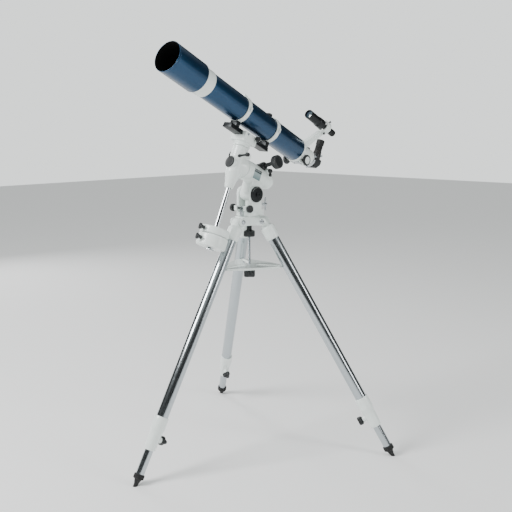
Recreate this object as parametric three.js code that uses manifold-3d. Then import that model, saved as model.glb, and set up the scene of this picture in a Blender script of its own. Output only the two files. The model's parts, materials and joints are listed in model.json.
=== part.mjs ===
// A small refracting telescope on a German equatorial mount and a tubular tripod.
// Millimetres, +Z up, the objective end towards -Y; the origin is the bottom centre of the whole.
import * as THREE from "three";
import { mergeVertices } from "three/addons/utils/BufferGeometryUtils.js";
import Module from "manifold-3d";

const wasm = await Module();
wasm.setup();

// ---------------------------------------------------------------- clearances
const SEAT = 0.3; // between pieces that rest on each other
const RUN = 0.4; // round a shaft or tube that turns or slides

// ---------------------------------------------------------------- tripod
const LEG_AZIMUTHS = [-90, 30, 150]; // degrees from +X
const LEG_SPACING = 120; // degrees between legs
const LEG_SPLAY = 29.73; // degrees from upright
const LEG_LENGTH = 1059.5; // pivot to foot tip
const PIVOT_RADIUS = 60; // leg pivot from the tripod's axis
const UPPER_TUBE_RADIUS = 22.225;
const LOWER_TUBE_RADIUS = 15.875;
const TUBE_WALL = 1.5;
const LOWER_TUBE_LENGTH = 524;
const FOOT_HEIGHT = 45; // tip to the top of the foot's collar
const FOOT_COLLAR_RADIUS = 20.5;
const FOOT_TIP_RADIUS = 8;
const BRACKET_START = 136; // tip to the bracket's lower end
const BRACKET_LENGTH = 128;
const BRACKET_GRIP = 90; // length that guides the lower tube
const BRACKET_WALL = 5;
const CLAMP_HEIGHT = 44; // clamp screw above the bracket's lower end
const CLAMP_SCREW_RADIUS = 4;
const CLAMP_KNOB_RADIUS = 19;
const CLAMP_KNOB_REACH = 36; // leg axis to the knob's near face
const CLAMP_KNOB_DEPTH = 20;
const SLEEVE_START = 22; // pivot to the sleeve's shoulder
const SLEEVE_LENGTH = 58;
const SLEEVE_WALL = 5.5;
const TONGUE_WIDTH = 40;
const TONGUE_RADIUS = 15;
const EAR_THICKNESS = 9;
const PIVOT_BOLT_RADIUS = 5;
const PIVOT_HEAD_RADIUS = 8.5;
const PIVOT_HEAD_DEPTH = 5.5;
const HUB_RADIUS = 43;
const HUB_ABOVE_PIVOT = 20;
const HUB_BELOW_PIVOT = 16;
const ROD_RADIUS = 4.75;
const ROD_REACH_DOWN = 242; // hub top to the rod's lower end
const ROD_REACH_UP = 14; // thread in the mount
const LOCK_KNOB_RADIUS = 28;
const LOCK_KNOB_DROP = 59; // hub top to the knob's top
const LOCK_KNOB_DEPTH = 25;
const SPREADER_DROP = 196; // hub top to the spreader's top face
const SPREADER_THICKNESS = 8;
const SPREADER_HUB_RADIUS = 24;
const SPREADER_HUB_DEPTH = 22;
const SPREADER_WAIST = 90; // tripod axis to the middle of a side
const SPREADER_TIP_WIDTH = 26;
const SPREADER_RIM = 7;
const SPREADER_KNOB_RADIUS = 28;
const SPREADER_KNOB_DEPTH = 28;
const PEG_RADIUS = 5;
const PEG_FORWARD = 42; // azimuth peg from the tripod's axis
const PEG_HEIGHT = 40;

// ---------------------------------------------------------------- mount head
const BASE_RADIUS = 42;
const BASE_THICKNESS = 18;
const LATITUDE = 23.96; // degrees, tilt of the polar axis
const LATITUDE_AXIS_HEIGHT = 86; // above the hub's top face
const CHEEK_INNER = 27;
const CHEEK_THICKNESS = 13;
const CHEEK_RADIUS = 31;
const LATITUDE_PIN_RADIUS = 8;
const LATITUDE_DISC_RADIUS = 31.5;
const LATITUDE_DISC_DEPTH = 9;
const AZIMUTH_SCREW_HEIGHT = 32; // above the hub's top face
const AZIMUTH_SCREW_RADIUS = 4;
const AZIMUTH_SCREW_GAP = 5; // screw tip to peg, room for the base to turn
const AZIMUTH_KNOB_RADIUS = 15;
const AZIMUTH_KNOB_DEPTH = 13;
const AZIMUTH_KNOB_CLEARANCE = 2; // knob to cheek
const LATITUDE_BOLT_HEIGHT = 39;
const LATITUDE_BOLT_RADIUS = 5;
const LATITUDE_BOLT_REACH = 91; // tripod axis to the handle
const LATITUDE_BOLT_GAP = 2.2; // bolt tip to the housing's tail
const LATITUDE_HANDLE_LENGTH = 53;
const LATITUDE_HANDLE_RADIUS = 3.2;
const TAIL_LENGTH = 56;
const TAIL_HALF_WIDTH = 12;
const TAIL_HALF_DEPTH = 11;
const POLAR_AXIS_RISE = 78; // latitude axis to polar axis
const DEC_AXIS_AHEAD = 111.7; // latitude axis to declination axis, along the polar axis
const POLAR_HOUSING_RADIUS = 40;
const POLAR_HOUSING_FRONT = 40; // declination axis to the housing's front face
const POLAR_HOUSING_REAR = 150; // declination axis to the housing's shoulder
const POLAR_CAP_END = 203; // declination axis to the rounded lower end
const POLAR_CAP_RADIUS = 32;
const RA_SHAFT_RADIUS = 19;
const RA_SHAFT_BORE = 12;
const WORM_WHEEL_RADIUS = 25.5;
const WORM_WHEEL_WIDTH = 14;
const RA_WORM_RADIUS = 9;
const RA_WORM_TILT = 15.8; // degrees, worm raised towards its knob
const RA_WORM_BEHIND = 121; // declination axis to worm, along the polar axis
const WORM_BOSS_WALL = 5;
const WORM_BOSS_HALF_LENGTH = 21;
const RA_COLLAR_RADIUS = 16;
const RA_COLLAR_LENGTH = 24;
const RA_NECK_RADIUS = 8;
const SLOW_KNOB_RADIUS = 27;
const SLOW_KNOB_DEPTH = 25;
const RA_KNOB_REACH = 90.5; // polar axis to the knob's near face
const SCALE_PAD = [45, 44]; // flat pad for the scale plate, along and across the polar axis
const RA_LEVER_BEHIND = 142;
const RA_LEVER_RISE = 32;
const LEVER_HUB_RADIUS = 8;
const LEVER_HUB_DEPTH = 11;
const LEVER_STUB_RADIUS = 4;
const LEVER_ARM_RADIUS = 3.6;
const LEVER_BALL_RADIUS = 6.5;
const RA_LEVER_LENGTH = 17;
const RA_LEVER_REST = 20; // degrees
const RA_LEVER_STUB = 31; // polar axis to the stub's inner end

// ---------------------------------------------------------------- declination head
const DEC_HOUSING_RADIUS = 31;
const DEC_HOUSING_TOP = 72;
const DEC_TAPER_START = 35; // below the axes' crossing
const DEC_TAPER_END = 80;
const DEC_FLANGE_RADIUS = 39;
const DEC_FRONT_RADIUS = 25;
const POLAR_PORT_RADIUS = 15;
const POLAR_LID_RADIUS = 23;
const POLAR_LID_DEPTH = 5;
const DEC_SHAFT_RADIUS = 14;
const DEC_WORM_RADIUS = 8;
const DEC_WORM_BEHIND = 30;
const DEC_WORM_RISE = POLAR_HOUSING_RADIUS + 6; // clears the polar housing's shoulder
const DEC_KNOB_REACH = 52;
const DEC_KNOB_RADIUS = 20;
const DEC_KNOB_DEPTH = 20;
const DEC_LEVER_RISE = 46;
const DEC_LEVER_BEHIND = 8;
const DEC_LEVER_LENGTH = 44;
const DEC_LEVER_REST = -62; // degrees
const DEC_LEVER_STUB = 20; // declination axis to the stub's inner end
const SADDLE_RADIUS = 33;
const SADDLE_TOP = 109.4; // declination axis origin to the dovetail's seat
const SADDLE_LENGTH = 76;
const SADDLE_WIDTH = 74;
const SADDLE_PLATE = 20;
const JAW_HEIGHT = 17;
const HAND_SCREW_RADIUS = 4;
const SADDLE_KNOB_RADIUS = 12;
const SADDLE_KNOB_DEPTH = 16;
const SADDLE_KNOB_BEHIND = 25;
const WEIGHT_SHAFT_RADIUS = 10;
const WEIGHT_SHAFT_END = 341; // declination axis origin to the shaft's end
const WEIGHT_SOCKET_RADIUS = 17;
const WEIGHT_SOCKET_END = 96;
const WEIGHT_RADIUS = 58;
const WEIGHT_SPANS = [
  [260, 289],
  [290, 337],
];
const WEIGHT_KNOB_RADIUS = 13;
const WEIGHT_KNOB_DEPTH = 13;
const WEIGHT_KNOB_NECK = 10;
const SAFETY_SCREW_RADIUS = 16;
const SAFETY_SCREW_DEPTH = 6;

// ---------------------------------------------------------------- optical tube
const DEC_TURN = 6.97; // degrees, tube turned from the polar axis
const TUBE_RADIUS = 49.8;
const OPTICAL_TUBE_WALL = 2;
const TUBE_REAR = 327; // behind the declination axis
const CELL_REAR = 285; // ahead of the declination axis
const CELL_RADIUS = 51.8;
const CELL_LENGTH = 66;
const CELL_SOCKET = 12;
const RIB_INSET = 3; // dew shield's rear edge to the rib that carries it
const LENS_RADIUS = 46;
const LENS_THICKNESS = 14;
const DEW_RADIUS = 57.4;
const DEW_WALL = 2;
const DEW_REAR = 335;
const DEW_FRONT = 494;
const RING_STATIONS = [72, -126]; // ahead of the declination axis
const RING_WIDTH = 20;
const RING_THICKNESS = 3.5;
const RING_FOOT_HEIGHT = 17;
const RING_FOOT_WIDTH = 36;
const BAR_FRONT = 112;
const BAR_REAR = -137;
const BAR_WIDTH = 44;
const BAR_TOP_WIDTH = 36;
const BAR_HEIGHT = 18.1;
const PIGGY_KNOB_RADIUS = 17;
const PIGGY_KNOB_LEAN = 20; // degrees from upright
const FOCUSER_FLANGE = 14;
const FOCUSER_LIP = 1.2; // flange proud of the tube
const FOCUSER_RADIUS = 37;
const FOCUSER_REAR = 430;
const FOCUSER_PLUG = 12;
const DRAWTUBE_RADIUS = 27;
const DRAWTUBE_WALL = 2.5;
const DRAWTUBE_FRONT = 300;
const DRAWTUBE_REAR = 454;
const ADAPTER_LENGTH = 14;
const ADAPTER_RADIUS = 31;
const NOSE_RADIUS = 15.9;
const PINION_STATION = 362; // behind the declination axis
const PINION_RADIUS = 5.6;
const PINION_DROP = 33;
const FOCUS_SHAFT_RADIUS = 3.5;
const FOCUS_KNOB_RADIUS = 23.5;
const FOCUS_KNOB_DEPTH = 13;
const FOCUS_KNOB_REACH = 44;
const DIAGONAL_HALF = 20;
const DIAGONAL_STATION = 492; // eyepiece axis behind the declination axis
const HOLDER_RADIUS = 18.5;
const HOLDER_TOP = 42; // tube axis to the eyepiece seat
const EYEPIECE_TOP = 108;
const EYEPIECE_RADIUS = 17.5;
const EYEPIECE_WAIST = 15;
const FINDER_SIDE = 45; // towards +X
const FINDER_RISE = 146;
const FINDER_FRONT = 292; // behind the declination axis
const FINDER_REAR = 500;
const FINDER_TUBE_RADIUS = 19;
const FINDER_BODY_RADIUS = 21.5;
const FINDER_TAIL_RADIUS = 11.5;
const FINDER_RING_RADIUS = 27;
const FINDER_RING_SPAN = [409, 441];
const FINDER_FOOT_SPAN = [341, 386];

const TUBE_FACETS = 30; // sides of every round that fits the optical tube

// ---------------------------------------------------------------- finishes
const FINISHES = {
  whitePaint: { color: 0xf1f6f3, roughness: 0.35, metalness: 0.0 },
  bluePaint: { color: 0x1d3f63, roughness: 0.25, metalness: 0.5 },
  blackPlastic: { color: 0x15171a, roughness: 0.45, metalness: 0.0 },
  blackAnodised: { color: 0x1b1e20, roughness: 0.4, metalness: 0.6 },
  steel: { color: 0xc9cdd0, roughness: 0.22, metalness: 1.0 },
  glass: { color: 0xbfd8dc, roughness: 0.05, metalness: 0.0 },
};

// ---------------------------------------------------------------- solids
const radians = THREE.MathUtils.degToRad;
const ORIGIN = new THREE.Vector2(0, 0);

// A closed solid from a three.js geometry: vertices merged, collapsed faces dropped, faces outward.
function solid(geometry) {
  const loose = geometry.index ? geometry.toNonIndexed() : geometry;
  const bare = new THREE.BufferGeometry().setAttribute("position", loose.getAttribute("position"));
  const merged = mergeVertices(bare, 1e-4);
  const source = merged.index.array;
  const corners = [];
  for (let i = 0; i < source.length; i += 3) {
    const [a, b, c] = [source[i], source[i + 1], source[i + 2]];
    if (a !== b && b !== c && c !== a) corners.push(a, b, c);
  }
  const build = (list) =>
    new wasm.Manifold(
      new wasm.Mesh({
        numProp: 3,
        vertProperties: merged.attributes.position.array,
        triVerts: new Uint32Array(list),
      }),
    );
  const made = build(corners);
  return made.volume() < 0 ? build(corners.reverse()) : made;
}

// Turns a geometry made along Y so that its length lies along the named axis.
function along(geometry, axis) {
  if (axis === "x") geometry.rotateZ(-Math.PI / 2);
  if (axis === "z") geometry.rotateX(Math.PI / 2);
  return geometry;
}

// A round bar along an axis from one coordinate to another; at holds the other two coordinates.
function bar(axis, radius, from, to, at = [0, 0], segments = 16, endRadius = radius) {
  const geometry = new THREE.CylinderGeometry(endRadius, radius, to - from, segments);
  along(geometry, axis);
  const middle = (from + to) / 2;
  const place = { x: [middle, at[0], at[1]], y: [at[0], middle, at[1]], z: [at[0], at[1], middle] };
  return solid(geometry.translate(...place[axis]));
}

// A box between two opposite corners.
function block(low, high) {
  const size = high.map((value, i) => value - low[i]);
  const centre = high.map((value, i) => (value + low[i]) / 2);
  return solid(new THREE.BoxGeometry(...size).translate(...centre));
}

// A turned piece: profile points are [radius, station], stations along the named axis.
function turned(axis, profile, segments = 20) {
  const points = profile.map(([radius, station]) => new THREE.Vector2(radius, station));
  return solid(along(new THREE.LatheGeometry(points, segments), axis));
}

// A tube or bush: a closed ring profile between two stations.
function tube(axis, outer, inner, from, to, segments = 20) {
  const profile = [
    [inner, from],
    [outer, from],
    [outer, to],
    [inner, to],
    [inner, from],
  ];
  return turned(axis, profile, segments);
}

// A ball.
function ball(radius, centre, segments = 12) {
  return solid(new THREE.SphereGeometry(radius, segments, segments / 2).translate(...centre));
}

// A flat outline pushed along Z from one height to another.
function slab(shape, from, to, curveSegments = 8) {
  const depth = to - from;
  const options = { depth, bevelEnabled: false, curveSegments };
  return solid(new THREE.ExtrudeGeometry(shape, options).translate(0, 0, from));
}

// A lobed hand knob's outline: a disc with round lobes spaced evenly about it.
function lobedOutline(radius, lobes, depth) {
  const steps = lobes * 6;
  const points = [];
  for (let i = 0; i < steps; i++) {
    const angle = (i / steps) * 2 * Math.PI;
    const reach = radius - (depth * (1 - Math.cos(lobes * angle))) / 2;
    points.push(new THREE.Vector2(reach * Math.cos(angle), reach * Math.sin(angle)));
  }
  return new THREE.Shape(points);
}

// Moves a solid by way of a three.js matrix.
function moved(made, { shift = [0, 0, 0], turn = [0, 0, 0] } = {}) {
  const rotation = new THREE.Euler(...turn.map(radians));
  const matrix = new THREE.Matrix4().makeRotationFromEuler(rotation).setPosition(...shift);
  return made.transform(matrix.elements);
}

function union(...solids) {
  return solids.reduce((whole, next) => whole.add(next));
}

// A named mesh from a solid, with a material of its own.
function piece(name, made, finish) {
  const { vertProperties, triVerts } = made.getMesh();
  const geometry = new THREE.BufferGeometry();
  geometry.setAttribute("position", new THREE.BufferAttribute(vertProperties, 3));
  geometry.setIndex(new THREE.BufferAttribute(triVerts, 1));
  geometry.computeVertexNormals();
  const mesh = new THREE.Mesh(geometry, new THREE.MeshStandardMaterial(FINISHES[finish]));
  mesh.name = name;
  return mesh;
}

// A group at a place, turned about its own axes, holding the given children.
function frameAt(position, rotation, children) {
  const group = new THREE.Group();
  group.position.set(...position);
  group.rotation.set(...rotation.map(radians));
  group.add(...children);
  return group;
}

// ---------------------------------------------------------------- tripod head
const PIVOT_HEIGHT = LEG_LENGTH * Math.cos(radians(LEG_SPLAY));
const HUB_TOP = PIVOT_HEIGHT + HUB_ABOVE_PIVOT;
const HUB_BOTTOM = PIVOT_HEIGHT - HUB_BELOW_PIVOT;
const EAR_INNER = TONGUE_WIDTH / 2 + RUN * 2;
const EAR_OUTER = EAR_INNER + EAR_THICKNESS;
const EAR_RADIUS = HUB_BELOW_PIVOT;

function tripodHub() {
  let hub = bar("z", HUB_RADIUS, HUB_BOTTOM, HUB_TOP, [0, 0], 24);
  for (const azimuth of LEG_AZIMUTHS) {
    for (const side of [-1, 1]) {
      const low = Math.min(side * EAR_INNER, side * EAR_OUTER);
      const high = Math.max(side * EAR_INNER, side * EAR_OUTER);
      const web = block([HUB_RADIUS / 2, low, HUB_BOTTOM], [PIVOT_RADIUS, high, PIVOT_HEIGHT + EAR_RADIUS]);
      const tip = bar("y", EAR_RADIUS, low, high, [PIVOT_RADIUS, PIVOT_HEIGHT], 16);
      hub = hub.add(moved(web.add(tip), { turn: [0, 0, azimuth] }));
    }
    const bore = bar("y", PIVOT_BOLT_RADIUS + SEAT, -EAR_OUTER - 1, EAR_OUTER + 1, [PIVOT_RADIUS, PIVOT_HEIGHT], 12);
    hub = hub.subtract(moved(bore, { turn: [0, 0, azimuth] }));
  }
  const bridge = block(
    [-EAR_OUTER, -PEG_FORWARD - PEG_RADIUS - 4, PIVOT_HEIGHT + EAR_RADIUS],
    [EAR_OUTER, -HUB_RADIUS / 2, HUB_TOP],
  );
  const peg = bar("z", PEG_RADIUS, HUB_TOP - 2, HUB_TOP + PEG_HEIGHT, [0, -PEG_FORWARD], 12);
  const bore = bar("z", ROD_RADIUS + RUN, HUB_BOTTOM - 1, HUB_TOP + 1, [0, 0], 12);
  return piece("tripod_hub", union(hub, bridge, peg).subtract(bore), "whitePaint");
}

function pivotBolt(index) {
  const reach = EAR_OUTER + SEAT;
  const shank = bar("y", PIVOT_BOLT_RADIUS, -reach - 1, reach + 1, [0, 0], 12);
  const heads = [-1, 1].map((side) => {
    const ends = [side * reach, side * (reach + PIVOT_HEAD_DEPTH)].sort((a, b) => a - b);
    return bar("y", PIVOT_HEAD_RADIUS, ends[0], ends[1], [0, 0], 6);
  });
  return piece(`leg_${index}_pivot_bolt`, union(shank, ...heads), "steel");
}

function centerRod() {
  const rod = bar("z", ROD_RADIUS, HUB_TOP - ROD_REACH_DOWN, HUB_TOP + ROD_REACH_UP, [0, 0], 12);
  const top = HUB_TOP - LOCK_KNOB_DROP;
  const knob = slab(lobedOutline(LOCK_KNOB_RADIUS, 4, 8), top - LOCK_KNOB_DEPTH, top);
  const neck = bar("z", 11, top - 1, HUB_BOTTOM - SEAT, [0, 0], 12);
  return piece("center_rod", union(rod, knob, neck), "blackPlastic");
}

// ---------------------------------------------------------------- one leg, in a frame at its pivot
// Local -Z runs down the leg and +X outwards.
const fromTip = (distance) => distance - LEG_LENGTH;
const SLEEVE_BORE = UPPER_TUBE_RADIUS + SEAT;
const BRACKET_TOP = fromTip(BRACKET_START + BRACKET_LENGTH);
const TUBE_BOTTOM = fromTip(BRACKET_START + BRACKET_GRIP + SEAT);
const TUBE_TOP = -SLEEVE_START - SLEEVE_WALL - SEAT;

function legSleeve(index) {
  const shoulder = -SLEEVE_START;
  const end = shoulder - SLEEVE_LENGTH;
  const outer = SLEEVE_BORE + SLEEVE_WALL;
  const body = turned("z", [[0, end], [outer - 2, end], [outer, end + 8], [outer, shoulder - 6],
    [outer - 6, shoulder], [0, shoulder]], 16);
  const half = TONGUE_WIDTH / 2;
  const tongue = block([-TONGUE_RADIUS, -half, shoulder - 6], [TONGUE_RADIUS, half, 0]);
  const eye = bar("y", TONGUE_RADIUS, -half, half, [0, 0], 16);
  const socket = bar("z", SLEEVE_BORE, end - 1, TUBE_TOP + SEAT, [0, 0], 16);
  const bore = bar("y", PIVOT_BOLT_RADIUS + RUN, -half - 1, half + 1, [0, 0], 12);
  const whole = union(body, tongue, eye).subtract(socket).subtract(bore);
  return piece(`leg_${index}_sleeve`, whole, "whitePaint");
}

function legUpperTube(index) {
  const made = tube("z", UPPER_TUBE_RADIUS, UPPER_TUBE_RADIUS - TUBE_WALL, TUBE_BOTTOM, TUBE_TOP, 16);
  return piece(`leg_${index}_upper_tube`, made, "steel");
}

function legBracket(index) {
  const bottom = fromTip(BRACKET_START);
  const lowRadius = LOWER_TUBE_RADIUS + RUN + BRACKET_WALL;
  const highRadius = SLEEVE_BORE + BRACKET_WALL;
  const profile = [[0, bottom], [lowRadius, bottom], [lowRadius + 2, bottom + 60],
    [highRadius, TUBE_BOTTOM - 6], [highRadius, BRACKET_TOP - 3], [highRadius - 3, BRACKET_TOP], [0, BRACKET_TOP]];
  const body = turned("z", profile, 16);
  const height = bottom + CLAMP_HEIGHT;
  const boss = bar("x", 11, -CLAMP_KNOB_REACH + SEAT, -LOWER_TUBE_RADIUS, [0, height], 12);
  const grip = bar("z", LOWER_TUBE_RADIUS + RUN, bottom - 1, BRACKET_TOP + 1, [0, 0], 16);
  const socket = bar("z", SLEEVE_BORE, TUBE_BOTTOM - SEAT, BRACKET_TOP + 1, [0, 0], 16);
  const screw = bar("x", CLAMP_SCREW_RADIUS + RUN, -CLAMP_KNOB_REACH - 1, -LOWER_TUBE_RADIUS, [0, height], 12);
  const whole = union(body, boss).subtract(grip).subtract(socket).subtract(screw);
  return piece(`leg_${index}_bracket`, whole, "whitePaint");
}

function legClampKnob(index) {
  const height = fromTip(BRACKET_START + CLAMP_HEIGHT);
  const near = -CLAMP_KNOB_REACH;
  const screw = bar("x", CLAMP_SCREW_RADIUS, near - 4, -LOWER_TUBE_RADIUS - RUN, [0, height], 12);
  const lobes = slab(lobedOutline(CLAMP_KNOB_RADIUS, 3, 10), 0, CLAMP_KNOB_DEPTH);
  const knob = moved(lobes, { shift: [near, 0, height], turn: [0, -90, 0] });
  return piece(`leg_${index}_clamp_knob`, screw.add(knob), "blackPlastic");
}

function legLowerTube(index) {
  const start = fromTip(FOOT_HEIGHT - 9);
  const end = start + LOWER_TUBE_LENGTH;
  const made = tube("z", LOWER_TUBE_RADIUS, LOWER_TUBE_RADIUS - TUBE_WALL, start, end, 16);
  return piece(`leg_${index}_lower_tube`, made, "steel");
}

// The foot: a collar round the tube over a blunt spike, cut level where it stands.
function legFoot(index) {
  const tip = fromTip(0);
  const collarTop = fromTip(FOOT_HEIGHT);
  const socketFloor = fromTip(FOOT_HEIGHT - 9) - SEAT;
  const profile = [[0, tip - 8], [FOOT_TIP_RADIUS, tip - 8], [FOOT_TIP_RADIUS, tip + 8], [14, tip + 26],
    [FOOT_COLLAR_RADIUS, tip + 28], [FOOT_COLLAR_RADIUS, collarTop], [0, collarTop]];
  const body = turned("z", profile, 16);
  const socket = tube("z", LOWER_TUBE_RADIUS + SEAT, LOWER_TUBE_RADIUS - TUBE_WALL - SEAT,
    socketFloor, collarTop + 1, 16);
  const ground = block([-60, -60, -60], [60, 60, 0]);
  const floor = moved(ground, { shift: [0, 0, tip], turn: [0, LEG_SPLAY, 0] });
  return piece(`leg_${index}_foot`, body.subtract(socket).subtract(floor), "blackPlastic");
}

// The parts of one leg in frames that fold and slide: pivot, splay, then the sliding lower leg.
function leg(index, azimuth) {
  const sliding = frameAt([0, 0, 0], [0, 0, 0], [legLowerTube(index), legFoot(index)]);
  sliding.name = `leg_${index}_extension`;
  const folding = frameAt([PIVOT_RADIUS, 0, PIVOT_HEIGHT], [0, -LEG_SPLAY, 0], [
    legSleeve(index), legUpperTube(index), legBracket(index), legClampKnob(index), sliding]);
  const bolt = frameAt([PIVOT_RADIUS, 0, PIVOT_HEIGHT], [0, 0, 0], [pivotBolt(index)]);
  return frameAt([0, 0, 0], [0, 0, azimuth], [folding, bolt]);
}

// ---------------------------------------------------------------- spreader
// Inner side of a spread leg's tube at a height, in the leg's own plane.
function legInside(height) {
  const splay = radians(LEG_SPLAY);
  return PIVOT_RADIUS + (PIVOT_HEIGHT - height) * Math.tan(splay) - UPPER_TUBE_RADIUS / Math.cos(splay);
}

// A three-cornered tray with hollow sides; each corner reaches a leg and holds a window.
function spreader() {
  const top = HUB_TOP - SPREADER_DROP;
  const reach = legInside(top) - SEAT;
  const tip = SPREADER_TIP_WIDTH / 2;
  const outline = new THREE.Shape();
  LEG_AZIMUTHS.forEach((azimuth, i) => {
    const corner = (side) => new THREE.Vector2(reach, side * tip).rotateAround(ORIGIN, radians(azimuth));
    if (i === 0) outline.moveTo(...corner(-1).toArray());
    outline.lineTo(...corner(1).toArray());
    const next = new THREE.Vector2(reach, -tip).rotateAround(ORIGIN, radians(azimuth + LEG_SPACING));
    const middle = new THREE.Vector2(SPREADER_WAIST, 0).rotateAround(ORIGIN, radians(azimuth + LEG_SPACING / 2));
    const pull = middle.multiplyScalar(2).sub(corner(1).add(next).divideScalar(2));
    outline.quadraticCurveTo(pull.x, pull.y, next.x, next.y);
  });
  let tray = slab(outline, top - SPREADER_THICKNESS, top, 6);
  const start = SPREADER_HUB_RADIUS + SPREADER_RIM;
  const end = reach - SPREADER_RIM;
  for (const azimuth of LEG_AZIMUTHS) {
    const corners = [[start, -start / 2], [end, SPREADER_RIM - tip], [end, tip - SPREADER_RIM], [start, start / 2]];
    const hole = new THREE.Shape(corners.map(([x, y]) => new THREE.Vector2(x, y)));
    const cut = slab(hole, top - SPREADER_THICKNESS - 1, top + 1);
    tray = tray.subtract(moved(cut, { turn: [0, 0, azimuth] }));
  }
  const hub = bar("z", SPREADER_HUB_RADIUS, top - SPREADER_HUB_DEPTH, top, [0, 0], 18);
  const bore = bar("z", ROD_RADIUS + RUN, top - SPREADER_HUB_DEPTH - 1, top + 1, [0, 0], 12);
  return piece("spreader", tray.add(hub).subtract(bore), "whitePaint");
}

function spreaderKnob() {
  const top = HUB_TOP - SPREADER_DROP - SPREADER_HUB_DEPTH - SEAT;
  const knob = slab(lobedOutline(SPREADER_KNOB_RADIUS, 4, 9), top - SPREADER_KNOB_DEPTH, top);
  const bore = bar("z", ROD_RADIUS + RUN, top - SPREADER_KNOB_DEPTH - 1, top + 1, [0, 0], 12);
  return piece("spreader_knob", knob.subtract(bore), "blackPlastic");
}

// ---------------------------------------------------------------- azimuth base
const LATITUDE_AXIS_Z = HUB_TOP + LATITUDE_AXIS_HEIGHT;
const CHEEK_OUTER = CHEEK_INNER + CHEEK_THICKNESS;
const AZIMUTH_SCREW_Z = HUB_TOP + AZIMUTH_SCREW_HEIGHT;
const LATITUDE_BOLT_Z = HUB_TOP + LATITUDE_BOLT_HEIGHT;
const REAR_WALL = [34, 44];

function azimuthBase() {
  const bottom = HUB_TOP + SEAT;
  const floorTop = HUB_TOP + BASE_THICKNESS;
  let base = bar("z", BASE_RADIUS, bottom, floorTop, [0, 0], 24);
  for (const side of [-1, 1]) {
    const [low, high] = [side * CHEEK_INNER, side * CHEEK_OUTER].sort((a, b) => a - b);
    const eye = bar("x", CHEEK_RADIUS, low, high, [0, LATITUDE_AXIS_Z], 18);
    const foot = block([low, -CHEEK_RADIUS - 3, bottom], [high, REAR_WALL[1], floorTop + 8]);
    const post = block([low, -CHEEK_RADIUS, floorTop], [high, CHEEK_RADIUS, LATITUDE_AXIS_Z]);
    const lugLow = [Math.min(side * 18, side * 34), -PEG_FORWARD - 9, AZIMUTH_SCREW_Z - 10];
    const lugHigh = [Math.max(side * 18, side * 34), -CHEEK_RADIUS + 4, AZIMUTH_SCREW_Z + 10];
    base = union(base, eye, foot, post, block(lugLow, lugHigh));
    const threaded = bar("x", AZIMUTH_SCREW_RADIUS + RUN, Math.min(0, side * 60), Math.max(0, side * 60),
      [-PEG_FORWARD, AZIMUTH_SCREW_Z], 12);
    base = base.subtract(threaded);
  }
  const wall = block([-CHEEK_INNER - 1, REAR_WALL[0], floorTop - 4], [CHEEK_INNER + 1, REAR_WALL[1], LATITUDE_BOLT_Z + 12]);
  const pegRoom = block([-13, -PEG_FORWARD - 12, bottom - 2], [13, -PEG_FORWARD + 9, HUB_TOP + PEG_HEIGHT + 4]);
  const boltHole = bar("y", LATITUDE_BOLT_RADIUS + RUN, REAR_WALL[0] - 1, REAR_WALL[1] + 1, [0, LATITUDE_BOLT_Z], 12);
  const rodHole = bar("z", ROD_RADIUS + RUN, bottom - 1, HUB_TOP + ROD_REACH_UP + 1, [0, 0], 12);
  const pinHole = bar("x", LATITUDE_PIN_RADIUS + SEAT, -CHEEK_OUTER - 1, CHEEK_OUTER + 1, [0, LATITUDE_AXIS_Z], 12);
  const whole = base.add(wall).subtract(union(pegRoom, boltHole, rodHole)).subtract(pinHole);
  return piece("azimuth_base", whole, "whitePaint");
}

function azimuthKnob(name, side) {
  const tip = side * (PEG_RADIUS + AZIMUTH_SCREW_GAP);
  const near = side * (CHEEK_OUTER + AZIMUTH_KNOB_CLEARANCE);
  const far = near + side * AZIMUTH_KNOB_DEPTH;
  const at = [-PEG_FORWARD, AZIMUTH_SCREW_Z];
  const screw = bar("x", AZIMUTH_SCREW_RADIUS, Math.min(tip, near + side), Math.max(tip, near + side), at, 12);
  const knob = bar("x", AZIMUTH_KNOB_RADIUS, Math.min(near, far), Math.max(near, far), at, 16);
  return piece(name, screw.add(knob), "blackPlastic");
}

function latitudePin() {
  const reach = CHEEK_OUTER + SEAT;
  const pin = bar("x", LATITUDE_PIN_RADIUS, -reach - 1, reach + 1, [0, LATITUDE_AXIS_Z], 12);
  const disc = bar("x", LATITUDE_DISC_RADIUS, reach, reach + LATITUDE_DISC_DEPTH, [0, LATITUDE_AXIS_Z], 22);
  const nut = bar("x", 14, -reach - 7, -reach, [0, LATITUDE_AXIS_Z], 6);
  return piece("latitude_pin", union(pin, disc, nut), "blackAnodised");
}

function latitudeBolt() {
  const tip = TAIL_HALF_DEPTH + LATITUDE_BOLT_GAP;
  const half = LATITUDE_HANDLE_LENGTH / 2;
  const shank = bar("y", LATITUDE_BOLT_RADIUS, tip, LATITUDE_BOLT_REACH, [0, LATITUDE_BOLT_Z], 12);
  const handle = bar("z", LATITUDE_HANDLE_RADIUS, LATITUDE_BOLT_Z - half, LATITUDE_BOLT_Z + half,
    [0, LATITUDE_BOLT_REACH], 12);
  const collar = bar("y", 7.5, LATITUDE_BOLT_REACH - 12, LATITUDE_BOLT_REACH + 4, [0, LATITUDE_BOLT_Z], 12);
  return piece("latitude_bolt", union(shank, handle, collar), "steel");
}

// ---------------------------------------------------------------- polar housing, in a frame at the latitude pin
// Local -Y is the polar axis (north and up); the polar axis lies POLAR_AXIS_RISE above the pin.
const station = (behindDec) => behindDec - DEC_AXIS_AHEAD;
const WORM_DISTANCE = WORM_WHEEL_RADIUS + RA_WORM_RADIUS + RUN * 2;
const WORM_BOSS_RADIUS = RA_WORM_RADIUS + RUN + WORM_BOSS_WALL;
const WORM_Y = station(RA_WORM_BEHIND);
const wormPlace = { shift: [0, WORM_Y, POLAR_AXIS_RISE], turn: [0, -RA_WORM_TILT, 0] };
const LEVER_BOSS = 9;

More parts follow.
